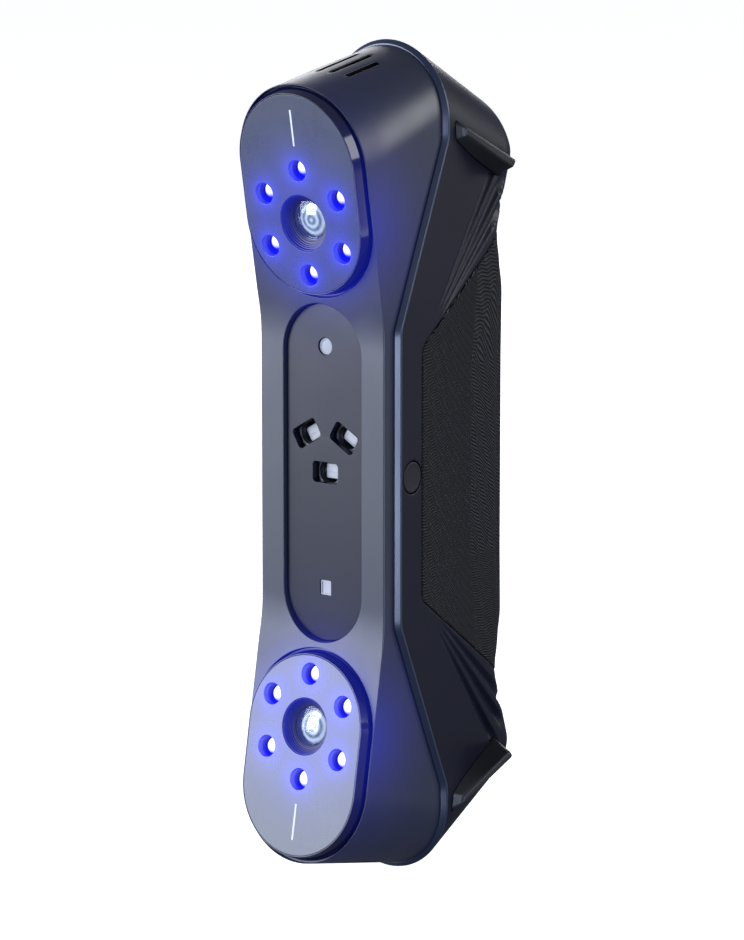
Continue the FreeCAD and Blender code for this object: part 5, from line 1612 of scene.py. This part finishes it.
def ports():
    """Data socket and power jack in the lower end."""
    shape = Shape()
    outer, inner = (rounded_rectangle(9.2, 3.5, 1.74, 0, DATA_AT, steps=9),
                    rounded_rectangle(8.5, 2.8, 1.39, 0, DATA_AT, steps=9))
    top = -PORT_DEPTH + 0.4
    rows = [(outer, 0, -PORT_DEPTH - 1.5), (outer, 0, top - 0.12), (outer, -0.05, top - 0.02),
            (outer, -0.15, top), (inner, 0.08, top), (inner, 0.02, top - 0.05), (inner, 0, top - 0.15),
            (inner, 0, -PORT_DEPTH - 6.3)]
    shape.loops([port_place(at_level(line(offset), level)) for line, offset, level in rows])
    shape.cap(port_place(at_level(inner(0), -PORT_DEPTH - 6.3)))
    tongue = rounded_rectangle(6.6, 0.7, 0.2, 0, DATA_AT)
    plate(shape, port_place, tongue, [], -PORT_DEPTH - 0.8, 5.5, 0.1, steps=3)
    made = shape.make("scanner_data_socket", MATERIALS["socket_steel"], "socket_steel", 35)
    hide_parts("data_socket")
    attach(made, "housing")
    shape = Shape()
    jack = rounded_profile([(4.2, -PORT_DEPTH - 1.5), (4.2, top), (2.8, top), (2.8, -PORT_DEPTH - 7.5),
                            (1.0, -PORT_DEPTH - 7.5)], 0.2, 3)
    lathe(shape, port_place, jack, 0, JACK_AT, 56)
    lathe(shape, port_place, rounded_profile([(1.0, -PORT_DEPTH - 7.5), (1.0, -PORT_DEPTH - 0.6),
                                              (0.0, -PORT_DEPTH - 0.5)], 0.35, 4), 0, JACK_AT, 32)
    made = shape.make("scanner_power_jack", MATERIALS["module_black"], "module_black", 35)
    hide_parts("power_jack")
    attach(made, "housing")


front_shell()
trim_band()
centre_panel()
lasers()
small_windows()
for is_upper in (True, False):
    camera_head(is_upper)
rear_casing()
grip_sleeve()
bumpers()
side_plug()
keys()
ports()

# ---------------------------------------------------------------- CAD nodes that stay
NODE_SLOTS = {m["slot"]: m for m in frame["record"].get("materials", [])}
for name, node in frame["nodes"].items():
    if node.hide_render:
        continue
    own_paint = node.data.materials[0].name if node.data.materials else "module_black"
    node_slot = node.get("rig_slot") or own_paint
    found = next((s for s in NODE_SLOTS if node_slot.startswith(s)), "module_black")
    paint = MATERIALS.get(found, MATERIALS["module_black"])
    # The CAD lamp holders also get the painted blue glow of the wells.
    if name.endswith("led_holder"):
        paint = WELL_PAINTS[name.startswith("upper")]
    node.data.materials.clear()
    node.data.materials.append(paint)

# ---------------------------------------------------------------- floor, lights, camera
floor_z = cad_low.z
floor_mesh = bpy.data.meshes.new("floor")
FLOOR_HALF = 14.0
floor_corners = ((-1, -1), (1, -1), (1, 1), (-1, 1))
floor_points = [(x * FLOOR_HALF, y * FLOOR_HALF, floor_z) for x, y in floor_corners]
floor_mesh.from_pydata(floor_points, [], [(0, 1, 2, 3)])
floor_piece = bpy.data.objects.new("floor", floor_mesh)
bpy.context.scene.collection.objects.link(floor_piece)
floor_nodes = Nodes("floor_paint")
floor_grain = floor_nodes.noise(floor_nodes.place(), 3.0, 2.0)
floor_colour = floor_nodes.mix(floor_grain, (0.90, 0.90, 0.90), (0.93, 0.93, 0.93))
floor_nodes.principled(Base_Color=floor_colour, Roughness=0.9, Specular_IOR_Level=0.0,
                       Emission_Color=(1, 1, 1, 1), Emission_Strength=0.80)
floor_mesh.materials.append(floor_nodes.material)
floor_piece.visible_glossy = floor_piece.visible_diffuse = floor_piece.visible_shadow = False

world = bpy.data.worlds.new("studio")
bpy.context.scene.world = world
world.use_nodes = True
tree = world.node_tree
tree.nodes.clear()
world_out = tree.nodes.new("ShaderNodeOutputWorld")
sky = tree.nodes.new("ShaderNodeBackground")
tree.links.new(sky.outputs[0], world_out.inputs[0])
coords = tree.nodes.new("ShaderNodeTexCoord")
split = tree.nodes.new("ShaderNodeSeparateXYZ")
tree.links.new(coords.outputs["Generated"], split.inputs[0])
ramp = tree.nodes.new("ShaderNodeMapRange")
ramp.interpolation_type = "SMOOTHSTEP"
tree.links.new(split.outputs["Z"], ramp.inputs["Value"])
for name, value in (("From Min", -0.5), ("From Max", 0.6), ("To Min", 0.12), ("To Max", 0.23)):
    ramp.inputs[name].default_value = value
sky.inputs["Color"].default_value = (0.84, 0.90, 1.15, 1.0)
tree.links.new(ramp.outputs["Result"], sky.inputs["Strength"])


def area_light(name, position, aim, size, power, rgb=(1, 1, 1)):
    """Soft rectangular light aimed at a point, in metres."""
    data = bpy.data.lights.new(name, "AREA")
    data.shape, data.size, data.size_y = "RECTANGLE", size[0], size[1]
    data.energy, data.color = power, rgb
    made = bpy.data.objects.new(name, data)
    made.location = position
    made.rotation_euler = (Vector(aim) - Vector(position)).to_track_quat("-Z", "Y").to_euler()
    bpy.context.scene.collection.objects.link(made)
    return made


def studio_light(name, direction, size, radiance, rgb=(1, 1, 1), distance=1.2):
    """Soft box in a direction from the object, with a radiance that doesn't depend on its size."""
    way = Vector(direction).normalized()
    return area_light(name, way * distance, (0, 0, 0), size, radiance * math.pi * size[0] * size[1], rgb)


studio_light("front_left_box", (-0.60, -0.75, 0.16), (0.7, 0.8), 9.2, (0.90, 0.97, 1.12))
studio_light("left_strip", (-0.95, -0.30, -0.05), (0.5, 0.8), 4.2, (0.92, 0.97, 1.08))
studio_light("back_right_box", (0.52, 0.757, 0.29), (0.5, 0.46), 5.6)
studio_light("right_back_rim", (0.909, 0.373, -0.18), (0.24, 0.36), 1.3)
studio_light("right_box", (0.925, 0.123, 0.36), (0.45, 0.6), 4.2, (0.97, 0.98, 1.0))
studio_light("back_right_low", (0.627, 0.757, -0.17), (0.6, 0.36), 0.32)
studio_light("right_front_fill", (0.73, -0.60, -0.12), (0.20, 0.14), 8.4, (0.78, 0.92, 1.18), 0.42)
studio_light("back_left_box", (-0.60, 0.757, 0.33), (0.6, 0.4), 4.2)

CAMERA_AZIMUTH, CAMERA_ELEVATION = math.radians(39.627), math.radians(10.467)
CAMERA_DISTANCE, CAMERA_LENS = 1.14949, 174.96
AIM_RIGHT, AIM_UP = 0.012531, 0.000887
camera_back = Vector((math.sin(CAMERA_AZIMUTH) * math.cos(CAMERA_ELEVATION),
                      -math.cos(CAMERA_AZIMUTH) * math.cos(CAMERA_ELEVATION), math.sin(CAMERA_ELEVATION)))
camera_right = Vector((math.cos(CAMERA_AZIMUTH), math.sin(CAMERA_AZIMUTH), 0))
camera_up = camera_back.cross(camera_right)
lens = bpy.data.cameras.new("camera")
lens.lens, lens.sensor_width = CAMERA_LENS, 36.0
camera = bpy.data.objects.new("camera", lens)
camera.rotation_mode = "QUATERNION"
camera.rotation_quaternion = Matrix((camera_right, camera_up, camera_back)).transposed().to_quaternion()
camera.location = (Vector(to_scene([(0, 0, 0)])[0]) + camera_back * CAMERA_DISTANCE
                   + camera_right * AIM_RIGHT + camera_up * AIM_UP)
bpy.context.scene.collection.objects.link(camera)
bpy.context.scene.camera = camera
bpy.context.scene.view_settings.view_transform = "Standard"
